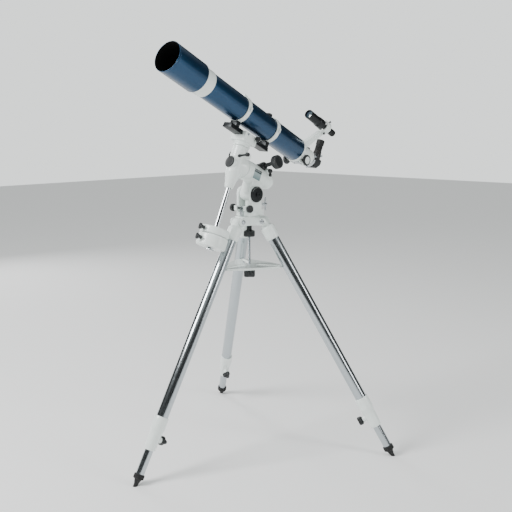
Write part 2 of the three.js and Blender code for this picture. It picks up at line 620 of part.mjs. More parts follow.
function polarHousing() {
  const front = station(POLAR_HOUSING_FRONT);
  const rear = station(POLAR_HOUSING_REAR);
  const end = station(POLAR_CAP_END);
  const profile = [[0, front], [POLAR_HOUSING_RADIUS - 3, front], [POLAR_HOUSING_RADIUS, front + 3],
    [POLAR_HOUSING_RADIUS, rear - 8], [POLAR_CAP_RADIUS + 2, rear], [POLAR_CAP_RADIUS, rear + 4],
    [POLAR_CAP_RADIUS, end - 16], [POLAR_CAP_RADIUS - 5, end - 5], [POLAR_CAP_RADIUS - 15, end], [0, end]];
  const raise = { shift: [0, 0, POLAR_AXIS_RISE] };
  const shell = moved(turned("y", profile, 24), raise);
  const lugHalf = CHEEK_INNER - RUN;
  const lug = block([-lugHalf, -CHEEK_INNER, 0], [lugHalf, CHEEK_INNER, POLAR_AXIS_RISE - 20]);
  const eye = bar("x", CHEEK_INNER, -lugHalf, lugHalf, [0, 0], 18);
  const tail = moved(block([-TAIL_HALF_WIDTH, -TAIL_HALF_DEPTH, -TAIL_LENGTH], [TAIL_HALF_WIDTH, TAIL_HALF_DEPTH, 0]),
    { turn: [LATITUDE, 0, 0] });
  const boss = moved(bar("x", WORM_BOSS_RADIUS, -WORM_BOSS_HALF_LENGTH, WORM_BOSS_HALF_LENGTH,
    [0, WORM_DISTANCE], 18), wormPlace);
  const [padLong, padHigh] = SCALE_PAD;
  const pad = block([0, -padLong - 2, POLAR_AXIS_RISE - 28], [POLAR_HOUSING_RADIUS + 0.5, -2, POLAR_AXIS_RISE - 28 + padHigh]);
  const leverBoss = bar("x", LEVER_BOSS, 20, POLAR_HOUSING_RADIUS + 1,
    [station(RA_LEVER_BEHIND), POLAR_AXIS_RISE + RA_LEVER_RISE], 12);
  const solidPart = union(shell, lug, eye, tail, boss, pad, leverBoss);
  const bore = moved(bar("y", RA_SHAFT_RADIUS + RUN, front - 1, rear - 1, [0, 0], 18), raise);
  const wheelRoom = moved(bar("y", WORM_WHEEL_RADIUS + RUN * 2, WORM_Y - WORM_WHEEL_WIDTH / 2 - 1,
    WORM_Y + WORM_WHEEL_WIDTH / 2 + 1, [0, 0], 22), raise);
  const wormRoom = moved(bar("x", RA_WORM_RADIUS + RUN, -WORM_BOSS_HALF_LENGTH + 6, WORM_BOSS_HALF_LENGTH + 1,
    [0, WORM_DISTANCE], 20), wormPlace);
  const collarRoom = moved(bar("x", RA_COLLAR_RADIUS + RUN, WORM_BOSS_HALF_LENGTH, RA_KNOB_REACH,
    [0, WORM_DISTANCE], 18), wormPlace);
  const pinHole = bar("x", LATITUDE_PIN_RADIUS + RUN, -lugHalf - 1, lugHalf + 1, [0, 0], 12);
  const leverHole = bar("x", LEVER_STUB_RADIUS + RUN, RA_LEVER_STUB - 1, POLAR_HOUSING_RADIUS + 2,
    [station(RA_LEVER_BEHIND), POLAR_AXIS_RISE + RA_LEVER_RISE], 12);
  const whole = solidPart.subtract(union(bore, wheelRoom, wormRoom, collarRoom)).subtract(pinHole).subtract(leverHole);
  return piece("polar_housing", whole, "whitePaint");
}

function raKnob() {
  const end = WORM_BOSS_HALF_LENGTH;
  const collarStart = end + SEAT;
  const collarEnd = end + RA_COLLAR_LENGTH;
  const at = [0, WORM_DISTANCE];
  const worm = bar("x", RA_WORM_RADIUS, -end + 7, collarStart + 1, at, 20);
  const collar = bar("x", RA_COLLAR_RADIUS, collarStart, collarEnd, at, 16);
  const neck = bar("x", RA_NECK_RADIUS, collarEnd - 1, RA_KNOB_REACH + 1, at, 12);
  const knob = bar("x", SLOW_KNOB_RADIUS, RA_KNOB_REACH, RA_KNOB_REACH + SLOW_KNOB_DEPTH, at, 18);
  return piece("ra_knob", union(worm, collar, neck, knob), "blackPlastic");
}

// A lock lever turning about X: a hub, an arm and a ball; the arm hangs along local -Z.
function lockLever(name, near, length, stubEnd) {
  const hub = bar("x", LEVER_HUB_RADIUS, near, near + LEVER_HUB_DEPTH, [0, 0], 12);
  const stub = bar("x", LEVER_STUB_RADIUS, stubEnd, near + 1, [0, 0], 12);
  const arm = bar("z", LEVER_ARM_RADIUS, -length, 0, [near + 6, 0], 12);
  const grip = ball(LEVER_BALL_RADIUS, [near + 6, 0, -length]);
  return piece(name, union(hub, stub, arm, grip), "blackPlastic");
}

// ---------------------------------------------------------------- declination head, in a frame at the axes' crossing
// Local -Y is the polar axis, -Z runs down the counterweight shaft.
const DEC_REAR = POLAR_HOUSING_FRONT - RUN * 2;

function raShaft() {
  const start = DEC_REAR + SEAT;
  const end = POLAR_HOUSING_REAR - 3;
  const worm = RA_WORM_BEHIND;
  const half = WORM_WHEEL_WIDTH / 2;
  const shaft = tube("y", RA_SHAFT_RADIUS, RA_SHAFT_BORE, start, end, 18);
  const wheel = tube("y", WORM_WHEEL_RADIUS, RA_SHAFT_RADIUS - 1, worm - half, worm + half, 22);
  return piece("ra_shaft", shaft.add(wheel), "steel");
}

function decHousing() {
  const barrel = turned("z", [[0, -WEIGHT_SOCKET_END], [WEIGHT_SOCKET_RADIUS, -WEIGHT_SOCKET_END],
    [WEIGHT_SOCKET_RADIUS + 2, -DEC_TAPER_END], [DEC_HOUSING_RADIUS, -DEC_TAPER_START],
    [DEC_HOUSING_RADIUS, DEC_HOUSING_TOP], [0, DEC_HOUSING_TOP]], 22);
  const flange = turned("y", [[0, 0], [DEC_HOUSING_RADIUS, 0], [DEC_FLANGE_RADIUS, DEC_REAR - 10],
    [DEC_FLANGE_RADIUS, DEC_REAR], [0, DEC_REAR]], 22);
  const front = bar("y", DEC_FRONT_RADIUS, -DEC_HOUSING_RADIUS - 1, 0, [0, 0], 18);
  const boss = bar("x", DEC_WORM_RADIUS + RUN + 5, -DEC_HOUSING_RADIUS - 4, DEC_HOUSING_RADIUS - 6,
    [DEC_WORM_BEHIND, DEC_WORM_RISE], 16);
  const leverBoss = bar("x", 10, 10, DEC_HOUSING_RADIUS + 3, [DEC_LEVER_BEHIND, DEC_LEVER_RISE], 12);
  const shaftBore = bar("z", DEC_SHAFT_RADIUS + RUN, 20, DEC_HOUSING_TOP + 1, [0, 0], 18);
  const weightBore = bar("z", WEIGHT_SHAFT_RADIUS + SEAT, -WEIGHT_SOCKET_END - 1, -50, [0, 0], 16);
  const port = bar("y", POLAR_PORT_RADIUS, -DEC_HOUSING_RADIUS - 2, DEC_REAR + 1, [0, 0], 18);
  const wormBore = bar("x", DEC_WORM_RADIUS + RUN, -DEC_HOUSING_RADIUS - 5, DEC_HOUSING_RADIUS - 12,
    [DEC_WORM_BEHIND, DEC_WORM_RISE], 12);
  const leverBore = bar("x", LEVER_STUB_RADIUS + RUN, DEC_LEVER_STUB - 2, DEC_HOUSING_RADIUS + 4, [DEC_LEVER_BEHIND, DEC_LEVER_RISE], 12);
  const whole = union(barrel, flange, front, boss, leverBoss)
    .subtract(union(shaftBore, weightBore, port)).subtract(wormBore).subtract(leverBore);
  return piece("dec_housing", whole, "whitePaint");
}

function polarCap() {
  const face = -DEC_HOUSING_RADIUS - 1 - SEAT;
  const profile = [[0, face - POLAR_LID_DEPTH], [POLAR_LID_RADIUS - 2, face - POLAR_LID_DEPTH],
    [POLAR_LID_RADIUS, face - POLAR_LID_DEPTH + 2], [POLAR_LID_RADIUS, face], [POLAR_PORT_RADIUS - SEAT, face],
    [POLAR_PORT_RADIUS - SEAT, face + 6], [0, face + 6]];
  return piece("polar_cap", turned("y", profile, 18), "blackPlastic");
}

function decKnob() {
  const at = [DEC_WORM_BEHIND, DEC_WORM_RISE];
  const worm = bar("x", DEC_WORM_RADIUS, -DEC_KNOB_REACH - 1, DEC_HOUSING_RADIUS - 13, at, 12);
  const knob = bar("x", DEC_KNOB_RADIUS, -DEC_KNOB_REACH - DEC_KNOB_DEPTH, -DEC_KNOB_REACH, at, 18);
  return piece("dec_knob", worm.add(knob), "blackPlastic");
}

function counterweightShaft() {
  const made = bar("z", WEIGHT_SHAFT_RADIUS, -WEIGHT_SHAFT_END, -50 - SEAT, [0, 0], 16);
  const thread = bar("z", 4 + RUN, -WEIGHT_SHAFT_END - 1, -WEIGHT_SHAFT_END + 14, [0, 0], 12);
  return piece("counterweight_shaft", made.subtract(thread), "steel");
}

function safetyScrew() {
  const top = -WEIGHT_SHAFT_END - SEAT;
  const head = bar("z", SAFETY_SCREW_RADIUS, top - SAFETY_SCREW_DEPTH, top, [0, 0], 16);
  const screw = bar("z", 4, top - 1, -WEIGHT_SHAFT_END + 12, [0, 0], 12);
  return piece("safety_screw", head.add(screw), "steel");
}

function weight(name, [near, far]) {
  const bore = WEIGHT_SHAFT_RADIUS + RUN;
  const profile = [[bore, -far], [WEIGHT_RADIUS - 3, -far], [WEIGHT_RADIUS, -far + 3],
    [WEIGHT_RADIUS, -near - 3], [WEIGHT_RADIUS - 3, -near], [bore, -near], [bore, -far]];
  const disc = turned("z", profile, 24);
  const middle = -(near + far) / 2;
  const hole = bar("y", 4 + RUN, -WEIGHT_RADIUS - 1, 0, [0, middle], 12);
  return piece(name, disc.subtract(hole), "whitePaint");
}

function weightKnob(name, [near, far]) {
  const middle = -(near + far) / 2;
  const start = -WEIGHT_RADIUS - WEIGHT_KNOB_NECK;
  const screw = bar("y", 4, start - 1, -WEIGHT_SHAFT_RADIUS - RUN * 2, [0, middle], 12);
  const lobes = slab(lobedOutline(WEIGHT_KNOB_RADIUS, 3, 6), 0, WEIGHT_KNOB_DEPTH);
  const knob = moved(lobes, { shift: [0, start, middle], turn: [90, 0, 0] });
  const neck = bar("y", 7, start - 1, -WEIGHT_RADIUS - SEAT, [0, middle], 12);
  return piece(name, union(screw, knob, neck), "blackPlastic");
}

// ---------------------------------------------------------------- saddle and tube, in a frame turned about the declination axis
// Local -Y points out of the objective; the tube's axis lies TUBE_RISE above the axes' crossing.
const RING_INNER = TUBE_RADIUS + SEAT;
const RING_OUTER = RING_INNER + RING_THICKNESS;
const BAR_BOTTOM = SADDLE_TOP + SEAT;
const BAR_TOP = BAR_BOTTOM + BAR_HEIGHT;
const FOOT_BOTTOM = BAR_TOP + SEAT;
const TUBE_RISE = FOOT_BOTTOM + RING_FOOT_HEIGHT + RING_OUTER;
const raiseTube = { shift: [0, 0, TUBE_RISE] };
const saddleScrewAt = [SADDLE_KNOB_BEHIND, SADDLE_TOP + JAW_HEIGHT / 2];

// The dovetail's cross-section, wide at the bottom; grow widens it for the groove.
function dovetail(grow, from, to) {
  const low = BAR_WIDTH / 2 + grow;
  const high = BAR_TOP_WIDTH / 2 + grow;
  const shape = new THREE.Shape([[-low, BAR_BOTTOM], [low, BAR_BOTTOM], [high, BAR_TOP], [-high, BAR_TOP]]
    .map(([x, z]) => new THREE.Vector2(x, z)));
  return moved(slab(shape, -to, -from), { turn: [90, 0, 0] });
}

function saddle() {
  const base = DEC_HOUSING_TOP + RUN;
  const plateLow = SADDLE_TOP - SADDLE_PLATE;
  const neck = bar("z", SADDLE_RADIUS, base, plateLow + 1, [0, 0], 22);
  const half = SADDLE_LENGTH / 2;
  const plate = block([-SADDLE_WIDTH / 2, -half, plateLow], [SADDLE_WIDTH / 2, half, SADDLE_TOP + JAW_HEIGHT]);
  const seatHalf = BAR_WIDTH / 2 + RUN;
  const seat = block([-seatHalf, -half - 1, SADDLE_TOP], [seatHalf, half + 1, BAR_BOTTOM + SEAT]);
  const groove = dovetail(RUN, -half - 1, half + 1).add(seat);
  const shaft = bar("z", DEC_SHAFT_RADIUS, 22, base + 1, [0, 0], 18);
  const screwHole = bar("x", HAND_SCREW_RADIUS + RUN, 10, SADDLE_WIDTH / 2 + 1, saddleScrewAt, 12);
  return piece("saddle", union(neck, plate, shaft).subtract(groove).subtract(screwHole), "whitePaint");
}

function saddleKnob() {
  const face = SADDLE_WIDTH / 2 + 3;
  const screw = bar("x", HAND_SCREW_RADIUS, BAR_WIDTH / 2 + RUN, face + 1, saddleScrewAt, 12);
  const lobes = slab(lobedOutline(SADDLE_KNOB_RADIUS, 5, 4), 0, SADDLE_KNOB_DEPTH);
  const knob = moved(lobes, { shift: [face, ...saddleScrewAt], turn: [0, 90, 0] });
  return piece("saddle_knob", screw.add(knob), "blackPlastic");
}

function dovetailBar() {
  const made = dovetail(0, -BAR_FRONT, -BAR_REAR);
  return piece("dovetail_bar", made, "blackAnodised");
}

function tubeRing(name, ahead, withKnob) {
  const half = RING_WIDTH / 2;
  const band = moved(tube("y", RING_OUTER, RING_INNER, -ahead - half, -ahead + half, TUBE_FACETS), raiseTube);
  const foot = block([-RING_FOOT_WIDTH / 2, -ahead - half, FOOT_BOTTOM],
    [RING_FOOT_WIDTH / 2, -ahead + half, TUBE_RISE - RING_INNER - 2]);
  const bore = moved(bar("y", RING_INNER, -ahead - half - 1, -ahead + half + 1, [0, 0], TUBE_FACETS), raiseTube);
  const ears = [-1, 1].map((side) => {
    const [low, high] = [side * (RING_OUTER - 3), side * (RING_OUTER + 8)].sort((a, b) => a - b);
    return block([low, -ahead - half + 6, TUBE_RISE - 7], [high, -ahead + half - 6, TUBE_RISE + 7]);
  });
  const padTop = RING_OUTER + 4;
  let crown = block([-13, -ahead - half, RING_INNER + 2], [13, -ahead + half, padTop]);
  if (withKnob) {
    const stud = bar("z", 3.2, padTop - 2, padTop + 8, [0, -ahead], 12);
    const disc = bar("z", PIGGY_KNOB_RADIUS, padTop + 5, padTop + 11, [0, -ahead], 18);
    crown = union(crown, stud, disc);
  }
  const lean = withKnob ? -PIGGY_KNOB_LEAN : 0;
  const raised = moved(crown, { ...raiseTube, turn: [0, lean, 0] });
  const whole = union(band, foot.subtract(bore), ...ears, raised.subtract(bore));
  return piece(name, whole, "whitePaint");
}

const TUBE_FRONT = CELL_REAR + CELL_SOCKET - SEAT;

function mainTube() {
  const made = tube("y", TUBE_RADIUS, TUBE_RADIUS - OPTICAL_TUBE_WALL, -TUBE_FRONT, TUBE_REAR, TUBE_FACETS);
  return piece("main_tube", moved(made, raiseTube), "bluePaint");
}

function lensCell() {
  const rear = -CELL_REAR;
  const ledge = rear - CELL_SOCKET;
  const seat = ledge - 6;
  const front = rear - CELL_LENGTH;
  const socket = TUBE_RADIUS + SEAT;
  const rib = DEW_RADIUS - DEW_WALL - SEAT;
  const ribRear = -DEW_REAR - RIB_INSET;
  const profile = [[socket, rear], [CELL_RADIUS - 1, rear], [CELL_RADIUS, rear - 1], [CELL_RADIUS, ribRear],
    [rib, ribRear], [rib, front], [LENS_RADIUS + SEAT, front], [LENS_RADIUS + SEAT, seat], [LENS_RADIUS - 2, seat], [LENS_RADIUS - 2, ledge],
    [socket, ledge], [socket, rear]];
  return piece("lens_cell", moved(turned("y", profile, TUBE_FACETS), raiseTube), "whitePaint");
}

function objectiveLens() {
  const rear = -CELL_REAR - CELL_SOCKET - 6 - SEAT;
  const front = rear - LENS_THICKNESS;
  const profile = [[0, front - 3], [LENS_RADIUS * 0.6, front - 2], [LENS_RADIUS, front], [LENS_RADIUS, rear], [0, rear]];
  return piece("objective_lens", moved(turned("y", profile, 22), raiseTube), "glass");
}

function dewShield() {
  const made = tube("y", DEW_RADIUS, DEW_RADIUS - DEW_WALL, -DEW_FRONT, -DEW_REAR, TUBE_FACETS);
  return piece("dew_shield", moved(made, raiseTube), "bluePaint");
}

const DRAW_BORE = DRAWTUBE_RADIUS + SEAT;
const PINION_BORE = PINION_RADIUS + RUN;

function focuserBody() {
  const plug = TUBE_REAR - FOCUSER_PLUG;
  const flange = TUBE_REAR + SEAT;
  const profile = [[DRAW_BORE, plug], [TUBE_RADIUS - OPTICAL_TUBE_WALL - SEAT, plug],
    [TUBE_RADIUS - OPTICAL_TUBE_WALL - SEAT, flange], [TUBE_RADIUS + FOCUSER_LIP, flange],
    [TUBE_RADIUS + FOCUSER_LIP, flange + FOCUSER_FLANGE - 2], [TUBE_RADIUS - 2, flange + FOCUSER_FLANGE],
    [FOCUSER_RADIUS + 3, flange + FOCUSER_FLANGE + 14], [FOCUSER_RADIUS, flange + FOCUSER_FLANGE + 26],
    [FOCUSER_RADIUS, FOCUSER_REAR - 3], [FOCUSER_RADIUS - 3, FOCUSER_REAR], [DRAW_BORE, FOCUSER_REAR],
    [DRAW_BORE, plug]];
  const body = turned("y", profile, TUBE_FACETS);
  const box = block([-30, PINION_STATION - 14, -PINION_DROP - 12], [30, PINION_STATION + 22, -20]);
  const bore = bar("y", DRAW_BORE, plug - 1, FOCUSER_REAR + 1, [0, 0], 22);
  const pinionBore = bar("x", PINION_BORE, -60, 60, [PINION_STATION, -PINION_DROP], 12);
  const whole = body.add(box.subtract(bore)).subtract(pinionBore);
  return piece("focuser_body", moved(whole, raiseTube), "whitePaint");
}

function drawtube() {
  const inner = DRAWTUBE_RADIUS - DRAWTUBE_WALL;
  const adapter = DRAWTUBE_REAR - ADAPTER_LENGTH;
  const profile = [[inner, DRAWTUBE_FRONT], [DRAWTUBE_RADIUS, DRAWTUBE_FRONT], [DRAWTUBE_RADIUS, adapter],
    [ADAPTER_RADIUS, adapter], [ADAPTER_RADIUS, DRAWTUBE_REAR - 2], [ADAPTER_RADIUS - 2, DRAWTUBE_REAR],
    [NOSE_RADIUS + RUN, DRAWTUBE_REAR], [NOSE_RADIUS + RUN, adapter + 2], [inner, adapter], [inner, DRAWTUBE_FRONT]];
  return piece("drawtube", moved(turned("y", profile, 22), raiseTube), "whitePaint");
}

function focusKnobs() {
  const at = [PINION_STATION, -PINION_DROP];
  const far = FOCUS_KNOB_REACH + FOCUS_KNOB_DEPTH;
  const shaft = bar("x", FOCUS_SHAFT_RADIUS, -FOCUS_KNOB_REACH - 1, FOCUS_KNOB_REACH + 1, at, 12);
  const pinion = bar("x", PINION_RADIUS, -25, 25, at, 12);
  const knobs = [bar("x", FOCUS_KNOB_RADIUS, FOCUS_KNOB_REACH, far, at, 22),
    bar("x", FOCUS_KNOB_RADIUS, -far, -FOCUS_KNOB_REACH, at, 36)];
  return piece("focus_knobs", moved(union(shaft, pinion, ...knobs), raiseTube), "blackPlastic");
}

// The star diagonal: a nose in the drawtube, a mirror box cut at 45 degrees and an eyepiece holder on top.
function diagonal() {
  const front = DIAGONAL_STATION - DIAGONAL_HALF - 6;
  const back = DIAGONAL_STATION + DIAGONAL_HALF;
  const half = DIAGONAL_HALF;
  const nose = tube("y", NOSE_RADIUS, NOSE_RADIUS - 1.5, DRAWTUBE_REAR - ADAPTER_LENGTH + 3, front + 1, 18);
  const collar = bar("y", half - 1, DRAWTUBE_REAR + SEAT, front + 1, [0, 0], 18);
  const box = block([-half, front, -half - 4], [half, back, half + 2]);
  const mirrorCut = moved(block([-half - 1, -60, -120], [half + 1, 60, 0]),
    { shift: [0, DIAGONAL_STATION + 10, -10], turn: [45, 0, 0] });
  const holder = bar("z", HOLDER_RADIUS, half, HOLDER_TOP, [0, DIAGONAL_STATION], 18);
  const alongBore = bar("y", NOSE_RADIUS - 1.5, DRAWTUBE_REAR - ADAPTER_LENGTH, DIAGONAL_STATION, [0, 0], 18);
  const upBore = bar("z", NOSE_RADIUS + RUN, -3, HOLDER_TOP + 1, [0, DIAGONAL_STATION], 18);
  const whole = union(box.subtract(mirrorCut), collar, nose, holder).subtract(alongBore).subtract(upBore);
  return piece("diagonal", moved(whole, raiseTube), "blackPlastic");
}

function eyepiece() {
  const profile = [[0, HOLDER_TOP - 20], [NOSE_RADIUS, HOLDER_TOP - 20], [NOSE_RADIUS, HOLDER_TOP + SEAT],
    [EYEPIECE_RADIUS, HOLDER_TOP + SEAT], [EYEPIECE_RADIUS, HOLDER_TOP + 14], [EYEPIECE_WAIST, HOLDER_TOP + 20],
    [EYEPIECE_WAIST, EYEPIECE_TOP - 26], [EYEPIECE_RADIUS, EYEPIECE_TOP - 20], [EYEPIECE_RADIUS, EYEPIECE_TOP],
    [EYEPIECE_RADIUS - 3, EYEPIECE_TOP], [11, EYEPIECE_TOP - 8], [0, EYEPIECE_TOP - 8]];
  const made = turned("z", profile, 18);
  return piece("eyepiece", moved(made, { shift: [0, DIAGONAL_STATION, TUBE_RISE] }), "blackPlastic");
}

const finderPlace = { shift: [FINDER_SIDE, 0, TUBE_RISE + FINDER_RISE] };

function finder() {
  const [ringStart, ringEnd] = FINDER_RING_SPAN;
  const shoulder = ringStart - 44;
  const profile = [[0, FINDER_FRONT + 16], [FINDER_TUBE_RADIUS - 3, FINDER_FRONT + 16],
    [FINDER_TUBE_RADIUS - 2, FINDER_FRONT], [FINDER_TUBE_RADIUS, FINDER_FRONT],
    [FINDER_TUBE_RADIUS, shoulder], [FINDER_BODY_RADIUS, shoulder + 2], [FINDER_BODY_RADIUS, ringStart - 7],
    [FINDER_TAIL_RADIUS + 4, ringStart], [FINDER_TAIL_RADIUS, ringStart + 4], [FINDER_TAIL_RADIUS, ringEnd + 20],
    [FINDER_TAIL_RADIUS + 2.5, ringEnd + 22], [FINDER_TAIL_RADIUS + 2.5, FINDER_REAR], [0, FINDER_REAR]];
  return piece("finder", moved(turned("y", profile, 22), finderPlace), "blackPlastic");
}

// The finder's bracket: a foot on the focuser, a slanted arm and a ring with its centring screws.
function finderBracket() {
  const [ringStart, ringEnd] = FINDER_RING_SPAN;
  const [footStart, footEnd] = FINDER_FOOT_SPAN;
  const ring = moved(tube("y", FINDER_RING_RADIUS, FINDER_RING_RADIUS - 5, ringStart, ringEnd, 22), finderPlace);
  const armRoot = FOCUSER_RADIUS - 9;
  const armTop = Math.hypot(FINDER_SIDE, FINDER_RISE) - FINDER_RING_RADIUS + 3;
  const armOutline = new THREE.Shape([[footStart, 0], [footEnd, 0], [ringEnd, 1], [ringStart, 1]]
    .map(([y, top]) => new THREE.Vector2(y, top ? armTop : armRoot)));
  const upright = moved(slab(armOutline, -9, 9), { turn: [0, 90, 90] });
  const lean = THREE.MathUtils.radToDeg(Math.atan2(FINDER_SIDE, FINDER_RISE));
  const arm = moved(upright, { shift: [0, 0, TUBE_RISE], turn: [0, lean, 0] });
  const keep = moved(bar("y", FOCUSER_RADIUS + 3.4, footStart - 30, ringEnd + 30, [0, 0], 24), raiseTube);
  const flange = moved(bar("y", TUBE_RADIUS + FOCUSER_LIP + SEAT, footStart - 60, TUBE_REAR + FOCUSER_FLANGE + SEAT * 2,
    [0, 0], 24), raiseTube);
  const cone = moved(bar("y", TUBE_RADIUS - 2 + SEAT, TUBE_REAR + FOCUSER_FLANGE - SEAT,
    TUBE_REAR + FOCUSER_FLANGE + 14 + SEAT, [0, 0], 48, FOCUSER_RADIUS + 3 + SEAT), raiseTube);
  const finderRoom = moved(bar("y", FINDER_RING_RADIUS - 5, ringStart - 40, ringEnd + 40, [0, 0], 22), finderPlace);
  const screws = [45, 165, 285].map((angle) => {
    const pin = bar("z", 2.6, FINDER_TAIL_RADIUS + SEAT, FINDER_RING_RADIUS + 9, [0, (ringStart + ringEnd) / 2], 12);
    const head = bar("z", 4.5, FINDER_RING_RADIUS + 4, FINDER_RING_RADIUS + 9, [0, (ringStart + ringEnd) / 2], 12);
    return moved(moved(pin.add(head), { turn: [0, angle, 0] }), finderPlace);
  });
  const body = arm.subtract(union(keep, flange, cone)).subtract(finderRoom);
  return piece("finder_bracket", union(body, ring, ...screws), "whitePaint");
}

// ---------------------------------------------------------------- assembly
function opticalTube() {
  const parts = [saddle(), saddleKnob(), dovetailBar(), tubeRing("ring_front", RING_STATIONS[0], false),
    tubeRing("ring_rear", RING_STATIONS[1], true), mainTube(), lensCell(), objectiveLens(), dewShield(),
    focuserBody(), drawtube(), focusKnobs(), diagonal(), eyepiece(), finder(), finderBracket()];
  return frameAt([0, 0, 0], [0, 0, DEC_TURN], parts);
}

function decHead() {
  const leverAt = [0, DEC_LEVER_BEHIND, DEC_LEVER_RISE];
  const lockFace = DEC_HOUSING_RADIUS + 3 + SEAT;
  const lever = frameAt(leverAt, [DEC_LEVER_REST, 0, 0], [
    lockLever("dec_lock_lever", lockFace, DEC_LEVER_LENGTH, DEC_LEVER_STUB)]);
  const weights = [weight("weight_upper", WEIGHT_SPANS[0]), weight("weight_lower", WEIGHT_SPANS[1]),
    weightKnob("weight_upper_knob", WEIGHT_SPANS[0]), weightKnob("weight_lower_knob", WEIGHT_SPANS[1])];
  const parts = [raShaft(), decHousing(), polarCap(), decKnob(), lever, counterweightShaft(), safetyScrew(), ...weights];
  return frameAt([0, -DEC_AXIS_AHEAD, POLAR_AXIS_RISE], [0, 0, 0], [...parts, opticalTube()]);
}

function polarHead() {
  const leverAt = [0, station(RA_LEVER_BEHIND), POLAR_AXIS_RISE + RA_LEVER_RISE];
  const lockFace = POLAR_HOUSING_RADIUS + 1 + SEAT;
  const lever = frameAt(leverAt, [RA_LEVER_REST, 0, 0], [
    lockLever("ra_lock_lever", lockFace, RA_LEVER_LENGTH, RA_LEVER_STUB)]);
  const worm = frameAt(wormPlace.shift, wormPlace.turn, [raKnob()]);
  const parts = [polarHousing(), worm, lever, decHead()];
  return frameAt([0, 0, LATITUDE_AXIS_Z], [-LATITUDE, 0, 0], parts);
}

function telescope() {
  const tripod = [tripodHub(), centerRod(), spreader(), spreaderKnob(),
    ...LEG_AZIMUTHS.map((azimuth, i) => leg(i + 1, azimuth))];
  const mount = [azimuthBase(), azimuthKnob("azimuth_knob_east", 1), azimuthKnob("azimuth_knob_west", -1),
    latitudePin(), latitudeBolt(), polarHead()];
  const whole = frameAt([0, 0, 0], [0, 0, 0], [...tripod, ...mount]);
  const box = new THREE.Box3().setFromObject(whole, true);
  const centre = box.getCenter(new THREE.Vector3());
  whole.position.set(-centre.x, -centre.y, -box.min.z);
  return whole;
}

const model = telescope();
export default model;
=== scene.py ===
# A refracting telescope on a German equatorial mount and a tubular steel tripod, put together from
# the ground up: tripod, mount head, optical tube. Sizes are in millimetres on the bench; each piece
# is then set at its place on the CAD frame, in metres.
import json
from math import atan2, cos, degrees, pi, radians, sin

import bmesh
import bpy
from mathutils import Matrix, Vector


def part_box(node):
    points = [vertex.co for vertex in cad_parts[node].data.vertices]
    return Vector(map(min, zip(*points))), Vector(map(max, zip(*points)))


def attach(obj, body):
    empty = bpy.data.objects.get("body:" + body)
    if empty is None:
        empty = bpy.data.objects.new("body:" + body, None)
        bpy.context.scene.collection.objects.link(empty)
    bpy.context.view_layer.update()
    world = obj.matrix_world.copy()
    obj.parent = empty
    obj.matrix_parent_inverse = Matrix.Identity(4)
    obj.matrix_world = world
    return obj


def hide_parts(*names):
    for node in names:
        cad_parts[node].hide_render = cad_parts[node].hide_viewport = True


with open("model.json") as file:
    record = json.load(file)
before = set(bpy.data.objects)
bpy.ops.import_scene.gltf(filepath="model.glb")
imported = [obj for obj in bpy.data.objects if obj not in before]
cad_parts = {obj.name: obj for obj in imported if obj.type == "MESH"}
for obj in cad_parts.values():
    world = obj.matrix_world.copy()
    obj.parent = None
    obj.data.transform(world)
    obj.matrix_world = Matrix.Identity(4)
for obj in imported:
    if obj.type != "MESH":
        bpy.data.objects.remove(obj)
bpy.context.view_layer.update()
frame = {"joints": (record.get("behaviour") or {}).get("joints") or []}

joints = {joint["name"]: joint for joint in frame["joints"]}


# ------------------------------------------------------------------ camera and studio
# A pale seamless floor in a room that shows white to the camera and fills the shadows evenly, with
# three soft boxes round the mount. The camera stands at +X and -Y and looks slightly down.
def linear(hex_colour):
    """An sRGB hex colour as the linear values that a shader takes."""
    channels = [int(hex_colour[i:i + 2], 16) / 255 for i in (1, 3, 5)]
    return [c / 12.92 if c <= 0.04045 else ((c + 0.055) / 1.055) ** 2.4 for c in channels] + [1.0]


def add(tree, kind, settings=(), links=()):
    """Adds a node, sets its sockets or properties, and links its inputs."""
    made = tree.nodes.new("ShaderNode" + kind)
    for key, value in dict(settings).items():
        if isinstance(key, int) or key in made.inputs:
            made.inputs[key].default_value = value
        else:
            setattr(made, key, value)
    for key, source in dict(links).items():
        tree.links.new(source, made.inputs[key])
    return made


def new_material(name):
    """An empty material with its output, and the bench coordinates of the piece in millimetres."""
    material = bpy.data.materials.new(name)
    material.use_nodes = True
    tree = material.node_tree
    tree.nodes.clear()
    output = add(tree, "OutputMaterial")
    bench = add(tree, "Attribute", {"attribute_name": "bench"}).outputs["Vector"]
    return material, tree, output, bench


def paper_floor():
    material, tree, output, bench = new_material("seamless_paper")
    fibre = add(tree, "TexNoise", {"Scale": 0.4, "Detail": 4.0}, {"Vector": bench})
    tone = add(tree, "MapRange", {"To Min": 0.93, "To Max": 0.97}, {"Value": fibre.outputs["Fac"]})
    colour = add(tree, "CombineColor", (), {key: tone.outputs[0] for key in ("Red", "Green", "Blue")})
    paper = add(tree, "BsdfPrincipled", {"Roughness": 0.85}, {"Base Color": colour.outputs[0]})
    tree.links.new(paper.outputs[0], output.inputs["Surface"])
    return material


axis_x, axis_y, _ = joints["center_rod_turn"]["pos_m"]
floor_mesh = bpy.data.meshes.new("floor")
half_floor = 14.0
corners = [(-half_floor, -half_floor), (half_floor, -half_floor), (half_floor, half_floor),
           (-half_floor, half_floor)]
floor_mesh.from_pydata([(x, y, 0.0) for x, y in corners], [], [(0, 1, 2, 3)])
floor_mesh.materials.append(paper_floor())
floor = bpy.data.objects.new("floor", floor_mesh)
bpy.context.scene.collection.objects.link(floor)

sky = bpy.data.worlds.new("studio_room")
sky.use_nodes = True
sky.node_tree.nodes.clear()
path = add(sky.node_tree, "LightPath")
way = add(sky.node_tree, "TexCoord")
split = add(sky.node_tree, "SeparateXYZ", (), {0: way.outputs["Generated"]})
